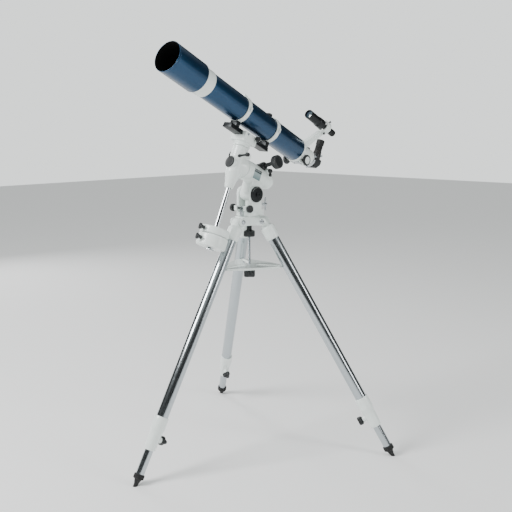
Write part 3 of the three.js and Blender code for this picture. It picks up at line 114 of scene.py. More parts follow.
# What polished metal sees: a bright ceiling that fades to a dim room below.
ceiling = add(sky.node_tree, "MapRange", {"From Min": 0.35, "From Max": 0.8, "To Min": 0.05, "To Max": 1.0,
                                          "interpolation_type": "SMOOTHSTEP"}, {"Value": split.outputs["Z"]})
seen = add(sky.node_tree, "Mix", {"data_type": "FLOAT", 3: 0.7}, {0: path.outputs["Is Diffuse Ray"],
                                                                  2: ceiling.outputs[0]})
shown = add(sky.node_tree, "Mix", {"data_type": "FLOAT", 3: 1.5}, {0: path.outputs["Is Camera Ray"],
                                                                  2: seen.outputs[0]})
room = add(sky.node_tree, "Background", {"Color": linear("#f6faf9")}, {"Strength": shown.outputs[0]})
out = add(sky.node_tree, "OutputWorld")
sky.node_tree.links.new(room.outputs[0], out.inputs["Surface"])
bpy.context.scene.world = sky


def soft_box(name, place, size, watts):
    light = bpy.data.lights.new(name, "AREA")
    light.shape = "RECTANGLE"
    light.size, light.size_y = size
    light.energy = watts
    lamp = bpy.data.objects.new(name, light)
    lamp.location = Vector(place)
    aim = Vector((axis_x, axis_y, 0.9)) - lamp.location
    lamp.rotation_euler = aim.to_track_quat("-Z", "Y").to_euler()
    bpy.context.scene.collection.objects.link(lamp)


soft_box("key_box", (-1.2, -3.4, 3.4), (1.8, 1.8), 230)
soft_box("side_box", (3.4, 1.2, 1.8), (0.7, 2.6), 45)
soft_box("rim_box", (-4.4, 0.9, 2.4), (0.9, 3.2), 60)

target = Vector((axis_x, axis_y, 0.77716))
stand = Vector((2.1423, -2.0688, 0.50964))
camera_data = bpy.data.cameras.new("studio_camera")
camera_data.sensor_width = 36.0
camera_data.lens = 53.15
camera_data.shift_x = 0.0129
camera = bpy.data.objects.new("studio_camera", camera_data)
camera.location = target + stand
level = (-stand).to_track_quat("-Z", "Y").to_matrix().to_4x4()
camera.matrix_world = Matrix.Translation(camera.location) @ level @ Matrix.Rotation(radians(-0.37), 4, "Z")
bpy.context.scene.collection.objects.link(camera)
bpy.context.scene.camera = camera


# ------------------------------------------------------------------ tripod hub
# An aluminium die casting with three pairs of ears for the legs and a flat top for the mount.
# Cast, bored for the centre rod, then finished in white stoving enamel with a slight orange peel.
MM = 0.001
HUB_TOP = joints["azimuth_turn"]["pos_m"][2] / MM
PIVOT_HEIGHT = joints["leg_1_fold"]["pos_m"][2] / MM
LEG_AZIMUTHS = (-90, 30, 150)
SHARP_EDGE = 38
row = Matrix.Translation((axis_x, axis_y, 0))


def eased(points, ease, closed=False):
    """A profile whose corners are rounded by a short curve."""
    rounded = []
    for i, point in enumerate(points):
        if not closed and i in (0, len(points) - 1):
            rounded.append(tuple(point))
            continue
        before, here, after = Vector(points[i - 1]), Vector(point), Vector(points[(i + 1) % len(points)])
        reach = min(ease, (before - here).length * 0.45, (after - here).length * 0.45)
        if reach < 0.05:
            rounded.append(tuple(point))
            continue
        start = here + (before - here).normalized() * reach
        end = here + (after - here).normalized() * reach
        for step in range(4):
            t = step / 3
            rounded.append(tuple((1 - t) ** 2 * start + 2 * t * (1 - t) * here + t * t * end))
    return rounded


def spun(bm, profile, axis="z", at=(0, 0), steps=64, swell=None, closed=False, ease=0.6):
    """Adds a turned solid: profile holds (radius, station), swell changes the radius with the angle."""
    rings = []
    for radius, place in eased(profile, ease, closed):
        if radius < 0.02:
            spots = [(0.0, 0.0)]
        else:
            angles = [2 * pi * i / steps for i in range(steps)]
            reach = [radius * (swell(angle, radius) if swell else 1) for angle in angles]
            spots = [(r * cos(angle), r * sin(angle)) for r, angle in zip(reach, angles)]
        lay = {"x": lambda u, v: (place, at[0] + u, at[1] + v),
               "y": lambda u, v: (at[0] + u, place, at[1] + v),
               "z": lambda u, v: (at[0] + u, at[1] + v, place)}[axis]
        rings.append([bm.verts.new(lay(u, v)) for u, v in spots])
    pairs = list(zip(rings, rings[1:] + rings[:1])) if closed else list(zip(rings, rings[1:]))
    for low, high in pairs:
        for i in range(steps):
            j = (i + 1) % steps
            corners = [low[i % len(low)], low[j % len(low)], high[j % len(high)], high[i % len(high)]]
            corners = [v for k, v in enumerate(corners) if v not in corners[:k]]
            if len(corners) > 2:
                bm.faces.new(corners)
    return bm


def rod(bm, axis, radius, start, end, at=(0, 0), steps=48, ease=0.6):
    """Adds a plain round bar with eased ends."""
    return spun(bm, [(0, start), (radius, start), (radius, end), (0, end)], axis, at, steps, ease=ease)


def prism(bm, outline, low, high, plane="xy", ease=0.6, segments=2):
    """Adds a flat outline pushed from low to high along the axis that its plane leaves, edges eased."""
    lay = {"xy": lambda u, v, w: (u, v, w), "yz": lambda u, v, w: (w, u, v),
           "xz": lambda u, v, w: (u, w, v)}[plane]
    rims = [[bm.verts.new(lay(u, v, w)) for u, v in outline] for w in (low, high)]
    faces = [bm.faces.new(rims[0]), bm.faces.new(rims[1][::-1])]
    count = len(outline)
    for i in range(count):
        j = (i + 1) % count
        faces.append(bm.faces.new((rims[0][i], rims[1][i], rims[1][j], rims[0][j])))
    if ease:
        edges = list(dict.fromkeys(edge for face in faces[:2] for edge in face.edges))
        bmesh.ops.bevel(bm, geom=edges, offset=ease, segments=segments, affect="EDGES", profile=0.6)
    return bm


def brick(bm, low, high, ease=0.8):
    """Adds a block between two corners, with its edges eased."""
    outline = [(low[0], low[1]), (high[0], low[1]), (high[0], high[1]), (low[0], high[1])]
    return prism(bm, eased(outline, ease * 1.6, closed=True), low[2], high[2], ease=ease)


def turned_about(bm, angle, axis="Z"):
    """Turns everything in a bmesh about an axis through the bench's origin."""
    bmesh.ops.transform(bm, matrix=Matrix.Rotation(radians(angle), 4, axis), verts=bm.verts)
    return bm


def joined(*parts):
    """One bmesh that holds all the given ones."""
    whole = bmesh.new()
    for part in parts:
        mesh = bpy.data.meshes.new("part")
        part.to_mesh(mesh)
        whole.from_mesh(mesh)
        bpy.data.meshes.remove(mesh)
    return whole


def reworked(bm, steps):
    """Runs modifiers on a bmesh and gives the result back as a new one."""
    bmesh.ops.recalc_face_normals(bm, faces=bm.faces)
    mesh = bpy.data.meshes.new("blank")
    bm.to_mesh(mesh)
    blank = bpy.data.objects.new("blank", mesh)
    bpy.context.scene.collection.objects.link(blank)
    for kind, settings in steps:
        modifier = blank.modifiers.new(kind.lower(), kind)
        for key, value in settings.items():
            setattr(modifier, key, value)
    graph = bpy.context.evaluated_depsgraph_get()
    result = bpy.data.meshes.new_from_object(blank.evaluated_get(graph))
    out = bmesh.new()
    out.from_mesh(result)
    bpy.data.objects.remove(blank)
    return out


def cast(bm, grain=1.6, rounds=6):
    """Melts overlapping solids into one casting with soft fillets where they meet."""
    return reworked(bm, [("REMESH", {"mode": "VOXEL", "voxel_size": grain}),
                         ("SMOOTH", {"factor": 0.5, "iterations": rounds})])


def machined(bm, cutter):
    """Cuts a casting with one closed cutter, leaving crisp edges."""
    bmesh.ops.recalc_face_normals(cutter, faces=cutter.faces)
    mesh = bpy.data.meshes.new("cutter")
    cutter.to_mesh(mesh)
    tool = bpy.data.objects.new("cutter", mesh)
    bpy.context.scene.collection.objects.link(tool)
    out = reworked(bm, [("BOOLEAN", {"operation": "DIFFERENCE", "solver": "MANIFOLD", "object": tool})])
    bpy.data.objects.remove(tool)
    return out


def piece(name, bm, place, body, nodes, finish):
    """Sets a bench-made solid at its place on the frame, hangs it on the empty of the body it rides on and
    hides the CAD parts it stands for.
    """
    bmesh.ops.recalc_face_normals(bm, faces=bm.faces)
    mesh = bpy.data.meshes.new(name)
    bm.to_mesh(mesh)
    bm.free()
    bench = mesh.attributes.new("bench", "FLOAT_VECTOR", "POINT")
    points = [0.0] * (3 * len(mesh.vertices))
    mesh.vertices.foreach_get("co", points)
    bench.data.foreach_set("vector", points)
    mesh.transform(place @ Matrix.Scale(MM, 4))
    mesh.shade_smooth()
    mesh.set_sharp_from_angle(angle=radians(SHARP_EDGE))
    mesh.materials.append(finish)
    made = bpy.data.objects.new(name, mesh)
    bpy.context.scene.collection.objects.link(made)
    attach(made, body)
    if nodes:
        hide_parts(*nodes)


def stoving_enamel():
    """Sprayed and baked enamel over a casting: a hard gloss skin whose orange peel is about 2 mm."""
    material, tree, output, bench = new_material("white_stoving_enamel")
    cloud = add(tree, "TexNoise", {"Scale": 0.02, "Detail": 3.0}, {"Vector": bench})
    colour = add(tree, "Mix", {"data_type": "RGBA", 6: linear("#e3ece8"), 7: linear("#edf3f0")},
                 {0: cloud.outputs["Fac"]})
    gloss = add(tree, "MapRange", {"To Min": 0.24, "To Max": 0.34}, {"Value": cloud.outputs["Fac"]})
    peel = add(tree, "TexNoise", {"Scale": 0.5, "Detail": 2.0}, {"Vector": bench})
    bump = add(tree, "Bump", {"Strength": 0.12, "Distance": 0.0002}, {"Height": peel.outputs["Fac"]})
    skin = add(tree, "BsdfPrincipled", {"IOR": 1.5, "Coat Weight": 0.35, "Coat Roughness": 0.12},
               {"Base Color": colour.outputs[2], "Roughness": gloss.outputs[0], "Normal": bump.outputs[0]})
    tree.links.new(skin.outputs[0], output.inputs["Surface"])
    return material


ENAMEL = stoving_enamel()
EAR_INNER, EAR_OUTER, EAR_RADIUS = 20.8, 29.8, 16
HUB_RADIUS, HUB_BOTTOM, PIVOT_RADIUS = 43, PIVOT_HEIGHT - 16, 60
ROD_BORE = 5.2
ears = []
for azimuth in LEG_AZIMUTHS:
    pair = bmesh.new()
    for low, high in ((-EAR_OUTER, -EAR_INNER), (EAR_INNER, EAR_OUTER)):
        brick(pair, (20, low, HUB_BOTTOM), (PIVOT_RADIUS, high, PIVOT_HEIGHT + EAR_RADIUS), 1.0)
        rod(pair, "y", EAR_RADIUS, low, high, (PIVOT_RADIUS, PIVOT_HEIGHT))
    ears.append(turned_about(pair, azimuth))
drum = bmesh.new()
spun(drum, [(0, HUB_BOTTOM), (HUB_RADIUS - 3, HUB_BOTTOM), (HUB_RADIUS, HUB_BOTTOM + 4),
            (HUB_RADIUS, HUB_TOP - 1), (0, HUB_TOP - 1)], ease=2)
spun(drum, [(0, HUB_TOP - 6), (HUB_RADIUS - 1, HUB_TOP - 6), (HUB_RADIUS - 1, HUB_TOP), (0, HUB_TOP)])
brick(drum, (-EAR_OUTER, -51, PIVOT_HEIGHT + 8), (EAR_OUTER, -20, HUB_TOP), 1.0)
rod_bore = rod(bmesh.new(), "z", ROD_BORE, HUB_BOTTOM - 5, HUB_TOP + 5)
hub = machined(cast(joined(drum, *ears)), rod_bore)
piece("hub_casting", hub, row, "root", ["tripod_hub"], ENAMEL)


# ------------------------------------------------------------------ azimuth peg and leg pivot bolts
# Turned and zinc-plated mild steel: the peg that the azimuth screws push against, and a hexagon bolt
# with washer and nyloc nut through each pair of ears.
def plated_steel():
    """Bright zinc plate over turned steel: a fine tooled grain of about 0.4 mm, and a cool cast."""
    material, tree, output, bench = new_material("bright_zinc_plate")
    haze = add(tree, "TexNoise", {"Scale": 0.12, "Detail": 4.0}, {"Vector": bench})
    rough = add(tree, "MapRange", {"To Min": 0.14, "To Max": 0.26}, {"Value": haze.outputs["Fac"]})
    rings = add(tree, "TexNoise", {"Scale": 2.5, "Detail": 1.0}, {"Vector": bench})
    bump = add(tree, "Bump", {"Strength": 0.05, "Distance": 0.0001}, {"Height": rings.outputs["Fac"]})
    plate = add(tree, "BsdfPrincipled", {"Base Color": linear("#c6cbcf"), "Metallic": 1.0},
                {"Roughness": rough.outputs[0], "Normal": bump.outputs[0]})
    tree.links.new(plate.outputs[0], output.inputs["Surface"])
    return material


ZINC = plated_steel()
PEG_Y = -42
peg = rod(bmesh.new(), "z", 5, HUB_TOP - 2, HUB_TOP + 40, (0, PEG_Y), ease=1.2)
piece("azimuth_peg", peg, row, "root", [], ZINC)


def vector_of(name, key="axis"):
    return Vector(joints[name][key])


def seat(origin, y, z):
    """A place on the frame from its origin and two of its directions."""
    y, z = Vector(y).normalized(), Vector(z).normalized()
    turn = Matrix((y.cross(z), y, z)).transposed().to_4x4()
    return Matrix.Translation(origin) @ turn


for number in (1, 2, 3):
    upright = seat(vector_of(f"leg_{number}_fold", "pos_m"), vector_of(f"leg_{number}_fold"), (0, 0, 1))
    bolt = rod(bmesh.new(), "y", 5, -32, 37, ease=0.8)
    for start, end in ((30.1, 31.5), (-31.5, -30.1)):
        rod(bolt, "y", 9.2, start, end, steps=40, ease=0.3)
    spun(bolt, [(0, -35.6), (7.2, -35.6), (8.5, -34.4), (8.5, -31.5), (0, -31.5)], "y", steps=6, ease=0.3)
    spun(bolt, [(0, 31.5), (8.5, 31.5), (8.5, 34.4), (7.4, 35.6), (0, 35.6)], "y", steps=6, ease=0.3)
    piece(f"pivot_bolt_{number}", bolt, upright, "root", [f"leg_{number}_pivot_bolt"], ZINC)


# ------------------------------------------------------------------ legs
# Each leg is a 44.5 mm steel tube between an upper sleeve with its hinge tongue and a lower bracket;
# a 31.75 mm tube slides in the bracket. Sleeve and bracket are enamelled die castings, the tubes are
# polished stainless steel, drawn lengthwise.
LEG_LENGTH = PIVOT_HEIGHT / -vector_of("leg_1_extend").z


def drawn_steel():
    """Stainless tube polished along its length: streaks 0.5 mm wide and about 80 mm long."""
    material, tree, output, bench = new_material("drawn_stainless_steel")
    stretch = add(tree, "Mapping", {"Scale": (2.0, 2.0, 0.012)}, {"Vector": bench})
    streak = add(tree, "TexNoise", {"Scale": 1.0, "Detail": 3.0}, {"Vector": stretch.outputs[0]})
    smear = add(tree, "TexNoise", {"Scale": 0.015, "Detail": 3.0}, {"Vector": bench})
    both = add(tree, "Math", {"operation": "ADD"}, {0: streak.outputs["Fac"], 1: smear.outputs["Fac"]})
    rough = add(tree, "MapRange", {"From Min": 0.6, "From Max": 1.4, "To Min": 0.13, "To Max": 0.27},
                {"Value": both.outputs[0]})
    bump = add(tree, "Bump", {"Strength": 0.04, "Distance": 0.0001}, {"Height": streak.outputs["Fac"]})
    steel = add(tree, "BsdfPrincipled",
                {"Base Color": linear("#b9c0c4"), "Metallic": 1.0, "Anisotropic": 0.4},
                {"Roughness": rough.outputs[0], "Normal": bump.outputs[0]})
    tree.links.new(steel.outputs[0], output.inputs["Surface"])
    return material


def moulded_abs():
    """Black ABS from a spark-eroded mould: a fine grain of about 0.45 mm that breaks up the highlight."""
    material, tree, output, bench = new_material("black_moulded_abs")
    grain = add(tree, "TexNoise", {"Scale": 2.2, "Detail": 2.0}, {"Vector": bench})
    bump = add(tree, "Bump", {"Strength": 0.25, "Distance": 0.0001}, {"Height": grain.outputs["Fac"]})
    cloud = add(tree, "TexNoise", {"Scale": 0.05, "Detail": 3.0}, {"Vector": bench})
    rough = add(tree, "MapRange", {"To Min": 0.36, "To Max": 0.5}, {"Value": cloud.outputs["Fac"]})
    colour = add(tree, "Mix", {"data_type": "RGBA", 6: linear("#121517"), 7: linear("#1d2123")},
                 {0: grain.outputs["Fac"]})
    plastic = add(tree, "BsdfPrincipled", {"IOR": 1.54},
                  {"Base Color": colour.outputs[2], "Roughness": rough.outputs[0], "Normal": bump.outputs[0]})
    tree.links.new(plastic.outputs[0], output.inputs["Surface"])
    return material


def foot_rubber():
    """Carbon-filled rubber: dull black, with a fine tooth and faint grey scuffs."""
    material, tree, output, bench = new_material("black_rubber")
    tooth = add(tree, "TexNoise", {"Scale": 1.6, "Detail": 5.0}, {"Vector": bench})
    scuff = add(tree, "TexNoise", {"Scale": 0.14, "Detail": 4.0}, {"Vector": bench})
    mask = add(tree, "MapRange", {"From Min": 0.5, "From Max": 0.75}, {"Value": scuff.outputs["Fac"]})
    colour = add(tree, "Mix", {"data_type": "RGBA", 6: linear("#0f1011"), 7: linear("#2a2b2b")},
                 {0: mask.outputs[0]})
    bump = add(tree, "Bump", {"Strength": 0.35, "Distance": 0.0002}, {"Height": tooth.outputs["Fac"]})
    rubber = add(tree, "BsdfPrincipled", {"IOR": 1.52, "Roughness": 0.72},
                 {"Base Color": colour.outputs[2], "Normal": bump.outputs[0]})
    tree.links.new(rubber.outputs[0], output.inputs["Surface"])
    return material


STAINLESS = drawn_steel()
ABS = moulded_abs()
RUBBER = foot_rubber()
UPPER_TUBE, LOWER_TUBE, WALL = 22.225, 15.875, 1.5
TONGUE_RADIUS, TONGUE_HALF = 15, 19.6
SCREW_RADIUS = 4
SLEEVE_TOP, SLEEVE_LENGTH = -22, 58
BRACKET_FOOT, BRACKET_LENGTH, GRIP = 136, 128, 90


def from_tip(distance):
    return distance - LEG_LENGTH


def lobed(radius, lobes, depth):
    """The swell of a lobed hand knob, which fades towards its middle."""
    return lambda angle, r: 1 - depth / radius * (1 - cos(lobes * angle)) / 2 * min(1, r / radius)


def hand_knob(bm, axis, radius, start, end, at, lobes, depth):
    """Adds a moulded hand knob: rounded lobes, a dished face and a raised centre on its outer side."""
    side = 1 if end > start else -1
    boss = radius * 0.45
    profile = [(0, start), (radius * 0.62, start), (radius, start + side * 4), (radius, end - side * 3),
               (radius * 0.82, end), (radius * 0.6, end - side * 1.8), (boss, end - side * 1.8),
               (boss * 0.85, end + side * 0.4), (0, end + side * 0.4)]
    return spun(bm, profile, axis, at, 96, lobed(radius, lobes, depth), ease=2.2)


for number in (1, 2, 3):
    body = f"leg_{number}"
    leg = seat(vector_of(f"{body}_fold", "pos_m"), vector_of(f"{body}_fold"), -vector_of(f"{body}_extend"))
    sleeve_radius, sleeve_foot = UPPER_TUBE + 5.8, SLEEVE_TOP - SLEEVE_LENGTH
    shell = bmesh.new()
    spun(shell, [(0, SLEEVE_TOP), (sleeve_radius - 7, SLEEVE_TOP), (sleeve_radius, SLEEVE_TOP - 7),
                 (sleeve_radius, sleeve_foot + 9), (sleeve_radius - 1.5, sleeve_foot + 6),
                 (sleeve_radius - 1.5, sleeve_foot), (0, sleeve_foot)], ease=2)
    brick(shell, (-TONGUE_RADIUS, -TONGUE_HALF, SLEEVE_TOP - 8), (TONGUE_RADIUS, TONGUE_HALF, -2), 1.5)
    rod(shell, "y", TONGUE_RADIUS, -TONGUE_HALF, TONGUE_HALF, ease=1.2)
    socket = rod(bmesh.new(), "z", UPPER_TUBE + 0.25, sleeve_foot - 5, SLEEVE_TOP - 6, steps=96)
    sleeve = machined(cast(shell, 1.5, 5), socket)
    piece(f"{body}_sleeve_casting", sleeve, leg, body, [f"{body}_sleeve"], ENAMEL)

    tube_low, tube_high = from_tip(BRACKET_FOOT + GRIP + 0.3), SLEEVE_TOP - 5.8
    upper = spun(bmesh.new(), [(UPPER_TUBE - WALL, tube_low), (UPPER_TUBE, tube_low), (UPPER_TUBE, tube_high),
                               (UPPER_TUBE - WALL, tube_high)], steps=96, closed=True, ease=0.3)
    piece(f"{body}_upper", upper, leg, body, [f"{body}_upper_tube"], STAINLESS)

    foot_end, top_end = from_tip(BRACKET_FOOT), from_tip(BRACKET_FOOT + BRACKET_LENGTH)
    clamp_height = foot_end + 44
    shell = bmesh.new()
    spun(shell, [(0, foot_end), (21, foot_end), (21.3, foot_end + 5), (22.2, foot_end + 7),
                 (23.3, foot_end + 60), (27.5, foot_end + GRIP - 6), (27.5, top_end - 9),
                 (26.6, top_end - 6), (26.6, top_end), (0, top_end)], ease=2.5)
    rod(shell, "x", 11, -35.7, -12, (0, clamp_height), ease=1.2)
    brick(shell, (-27, -3, clamp_height + 6), (-18, 3, clamp_height + 38), 1.4)
    bores = rod(bmesh.new(), "z", LOWER_TUBE + 0.35, foot_end - 5, foot_end + GRIP + 4, steps=96)
    shell = machined(cast(shell, 1.5, 5), bores)
    seat_bore = rod(bmesh.new(), "z", UPPER_TUBE + 0.25, foot_end + GRIP - 1, top_end + 5, steps=96)
    shell = machined(shell, seat_bore)
    piece(f"{body}_bracket_casting", shell, leg, body, [f"{body}_bracket"], ENAMEL)

    knob = hand_knob(bmesh.new(), "x", 19, -36, -55.6, (0, clamp_height), 3, 9)
    rod(knob, "x", 9.5, -36.6, -35.8, (0, clamp_height), ease=0.3)
    rod(knob, "x", SCREW_RADIUS, -37, -16.4, (0, clamp_height), steps=32)
    piece(f"{body}_clamp_hand_knob", knob, leg, f"{body}_clamp", [f"{body}_clamp_knob"], ABS)

    low, high = from_tip(36), from_tip(36 + 524)
    lower = spun(bmesh.new(), [(LOWER_TUBE - WALL, low), (LOWER_TUBE, low), (LOWER_TUBE, high),
                               (LOWER_TUBE - WALL, high)], steps=80, closed=True, ease=0.3)
    piece(f"{body}_lower", lower, leg, f"{body}_slide", [f"{body}_lower_tube"], STAINLESS)

    tip = from_tip(0)
    collar = [(0, tip - 12), (8, tip - 12), (8, tip + 8), (13.5, tip + 25), (19.5, tip + 28)]
    for rib in range(3):
        ring = tip + 28 + rib * 5
        collar += [(20.5, ring + 0.6), (20.5, ring + 3.4), (19.3, ring + 4.2), (19.3, ring + 4.8)]
    collar += [(20.5, tip + 44), (18.5, tip + 45), (0, tip + 45)]
    foot = spun(bmesh.new(), collar, steps=72, ease=0.8)
    ground = (leg.inverted() @ Vector((0, 0, 0))) / MM
    down = (leg.to_3x3().transposed() @ Vector((0, 0, 1))).normalized()
    cut = bmesh.ops.bisect_plane(foot, geom=foot.verts[:] + foot.edges[:] + foot.faces[:],
                                 plane_co=ground, plane_no=down, clear_inner=True)
    bmesh.ops.contextual_create(foot, geom=[e for e in cut["geom_cut"] if isinstance(e, bmesh.types.BMEdge)])
    piece(f"{body}_rubber_foot", foot, leg, f"{body}_slide", [f"{body}_foot"], RUBBER)


# ------------------------------------------------------------------ centre rod, spreader and its nut
# A threaded M10 rod hangs from the mount through the hub. Its lobed knob draws the mount down; the
# lower knob draws the enamelled three-cornered tray up against the legs.
def thread(bm, radius, start, end):
    """Adds a threaded bar along Z as a close row of ridges."""
    pitch, depth = 1.5, 0.8
    profile = [(0, start), (radius - depth, start)]
    count = int((end - start) / pitch)
    for turn in range(count):
        ridge = start + turn * pitch
        profile += [(radius - depth, ridge + pitch * 0.15), (radius, ridge + pitch * 0.5),
                    (radius, ridge + pitch * 0.65)]
    profile += [(radius - depth, end), (0, end)]
    return spun(bm, profile, "z", steps=28, ease=0)


rod_piece = thread(bmesh.new(), 4.75, HUB_TOP - 242, HUB_TOP - 84)
piece("centre_thread", rod_piece, row, "rod", [], ZINC)
lock_top = HUB_TOP - 59
lock = hand_knob(bmesh.new(), "z", 28, lock_top, lock_top - 24.5, (0, 0), 4, 9)
spun(lock, [(0, lock_top - 1), (12, lock_top - 1), (10.4, lock_top + 6), (10.4, HUB_BOTTOM - 0.4),
            (0, HUB_BOTTOM - 0.4)], ease=1)
rod(lock, "z", 4.7, HUB_BOTTOM - 2, HUB_TOP + 13.8, steps=32)
piece("mount_lock_knob", lock, row, "rod", ["center_rod"], ABS)

TRAY_TOP = HUB_TOP - 196
TRAY_TIP, TRAY_WAIST, TRAY_RIM = 13, 90, 7
TRAY_REACH = (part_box("spreader")[1].x / MM - axis_x / MM - TRAY_TIP * sin(radians(30))) / cos(radians(30))


def about(point, angle):
    """A point of the tray's plan turned about the rod."""
    x, y = point
    turn = radians(angle)
    return Vector((x * cos(turn) - y * sin(turn), x * sin(turn) + y * cos(turn)))


outline = []
for azimuth in LEG_AZIMUTHS:
    left, right = about((TRAY_REACH, -TRAY_TIP), azimuth), about((TRAY_REACH, TRAY_TIP), azimuth)
    after = about((TRAY_REACH, -TRAY_TIP), azimuth + 120)
    middle = about((TRAY_WAIST, 0), azimuth + 60)
    pull = 2 * middle - (right + after) / 2
    outline.append(tuple(left))
    outline += [tuple((1 - t) ** 2 * right + 2 * t * (1 - t) * pull + t * t * after) for t in
                [i / 16 for i in range(16)]]
tray = prism(bmesh.new(), outline, TRAY_TOP - 8, TRAY_TOP, ease=1.6, segments=3)
spun(tray, [(0, TRAY_TOP - 22), (21, TRAY_TOP - 22), (24, TRAY_TOP - 9), (26, TRAY_TOP - 4),
            (0, TRAY_TOP - 4)], ease=1.5)
for azimuth in LEG_AZIMUTHS:
    end = TRAY_REACH - TRAY_RIM
    window = [(31, -15.5), (end, TRAY_RIM - TRAY_TIP), (end, TRAY_TIP - TRAY_RIM), (31, 15.5)]
    window = eased([tuple(about(corner, azimuth)) for corner in window], 5, closed=True)
    tray = machined(tray, prism(bmesh.new(), window, TRAY_TOP - 12, TRAY_TOP + 4, ease=0))
tray = machined(tray, rod(bmesh.new(), "z", ROD_BORE, TRAY_TOP - 26, TRAY_TOP + 4))
piece("spreader_tray", tray, row, "tray", ["spreader"], ENAMEL)

nut_top = TRAY_TOP - 22.3
nut = hand_knob(bmesh.new(), "z", 28, nut_top, nut_top - 27.5, (0, 0), 4, 10)
nut = machined(nut, rod(bmesh.new(), "z", ROD_BORE, nut_top - 34, nut_top + 4))
piece("spreader_hand_nut", nut, row, "spreader_nut", ["spreader_knob"], ABS)


# ------------------------------------------------------------------ azimuth base and its screws
# The mount's foot: a bored disc with two cheeks that hold the latitude pin, cast in one with the
# rear wall and enamelled. Two knurled hand screws push on the peg from the sides.
PIN_Z = joints["latitude_tilt"]["pos_m"][2] / MM
SCREW_Z, BOLT_Z = HUB_TOP + 32, HUB_TOP + 39
AZIMUTH_SCREW = (PEG_Y, SCREW_Z)
SCREW_BORE = 4.4
CHEEK_INNER, CHEEK_OUTER, CHEEK_RADIUS = 27, 40, 31
foot_casting = bmesh.new()
spun(foot_casting, [(0, HUB_TOP + 0.3), (42, HUB_TOP + 0.3), (42, HUB_TOP + 12), (40, HUB_TOP + 18),
                    (0, HUB_TOP + 18)], ease=2)
for low, high in ((-CHEEK_OUTER, -CHEEK_INNER), (CHEEK_INNER, CHEEK_OUTER)):
    rod(foot_casting, "x", CHEEK_RADIUS, low, high, (0, PIN_Z), ease=1.5)
    brick(foot_casting, (low, -34, HUB_TOP + 0.3), (high, 44, HUB_TOP + 26), 1.5)
    brick(foot_casting, (low, -CHEEK_RADIUS, HUB_TOP + 18), (high, CHEEK_RADIUS, PIN_Z), 1.5)
for low, high in ((-34, -18), (18, 34)):
    brick(foot_casting, (low, -51, SCREW_Z - 10), (high, -27, SCREW_Z + 10), 1.5)
brick(foot_casting, (-28, 34, HUB_TOP + 14), (28, 44, BOLT_Z + 12), 1.5)
foot_casting = cast(foot_casting, 1.6, 5)
for cutter in (brick(bmesh.new(), (-13, -54, HUB_TOP - 2), (13, -33, HUB_TOP + 44), 0.4),
               rod(bmesh.new(), "y", 5.4, 33, 46, (0, BOLT_Z)),
               rod(bmesh.new(), "z", ROD_BORE, HUB_TOP - 2, HUB_TOP + 16),
               rod(bmesh.new(), "x", 8.3, -42, 42, (0, PIN_Z)),
               rod(bmesh.new(), "x", SCREW_BORE, -60, 60, AZIMUTH_SCREW, ease=0)):
    foot_casting = machined(foot_casting, cutter)
piece("azimuth_base_casting", foot_casting, row, "azimuth", ["azimuth_base"], ENAMEL)


def knurl(count, depth):
    """The swell of a straight-knurled grip."""
    return lambda angle, r: 1 - depth * (0.5 + 0.5 * cos(count * angle)) ** 2


for side, name in ((1, "east"), (-1, "west")):
    screw = rod(bmesh.new(), "x", SCREW_RADIUS, 10, 43, AZIMUTH_SCREW, steps=32)
    spun(screw, [(0, 42), (14.2, 42), (15, 43), (15, 52), (13, 54.6), (10, 54.6), (9.4, 53.6), (0, 53.6)],
         "x", AZIMUTH_SCREW, 144, knurl(36, 0.045), ease=0.8)
    if side < 0:
        bmesh.ops.transform(screw, matrix=Matrix.Scale(-1, 4, (1, 0, 0)), verts=screw.verts)
    piece(f"azimuth_hand_screw_{name}", screw, row, f"azimuth_screw_{name}", [f"azimuth_knob_{name}"],
          ABS)


# ------------------------------------------------------------------ latitude pin and T bolt
# A black-anodised pin with a graduated disc on the +X side, and a plated screw with a cross handle
# behind, whose end stands just off the polar housing's tail.
def anodised():
    """Black-anodised aluminium: a satin, faintly grey oxide with a machined grain of about 0.4 mm."""
    material, tree, output, bench = new_material("black_anodised_aluminium")
    cloud = add(tree, "TexNoise", {"Scale": 0.08, "Detail": 4.0}, {"Vector": bench})
    colour = add(tree, "Mix", {"data_type": "RGBA", 6: linear("#15181a"), 7: linear("#212527")},
                 {0: cloud.outputs["Fac"]})
    rough = add(tree, "MapRange", {"To Min": 0.3, "To Max": 0.42}, {"Value": cloud.outputs["Fac"]})
    lines = add(tree, "TexNoise", {"Scale": 2.4, "Detail": 1.0}, {"Vector": bench})
    bump = add(tree, "Bump", {"Strength": 0.1, "Distance": 0.0001}, {"Height": lines.outputs["Fac"]})
    oxide = add(tree, "BsdfPrincipled", {"Metallic": 0.55},
                {"Base Color": colour.outputs[2], "Roughness": rough.outputs[0], "Normal": bump.outputs[0]})
    tree.links.new(oxide.outputs[0], output.inputs["Surface"])
    return material


def engraved_paint():
    """White marking paint: flat, slightly chalky. The marks stand 0.15 mm proud of the disc."""
    material, tree, output, bench = new_material("white_engraving_paint")
    chalk = add(tree, "TexNoise", {"Scale": 1.5, "Detail": 3.0}, {"Vector": bench})
    tone = add(tree, "Mix", {"data_type": "RGBA", 6: linear("#c9cdca"), 7: linear("#e9ece9")},
               {0: chalk.outputs["Fac"]})
    paint = add(tree, "BsdfPrincipled", {"Roughness": 0.6}, {"Base Color": tone.outputs[2]})
    tree.links.new(paint.outputs[0], output.inputs["Surface"])
    return material


def shifted(bm, by):
    """Moves everything in a bmesh."""
    bmesh.ops.translate(bm, vec=by, verts=bm.verts)


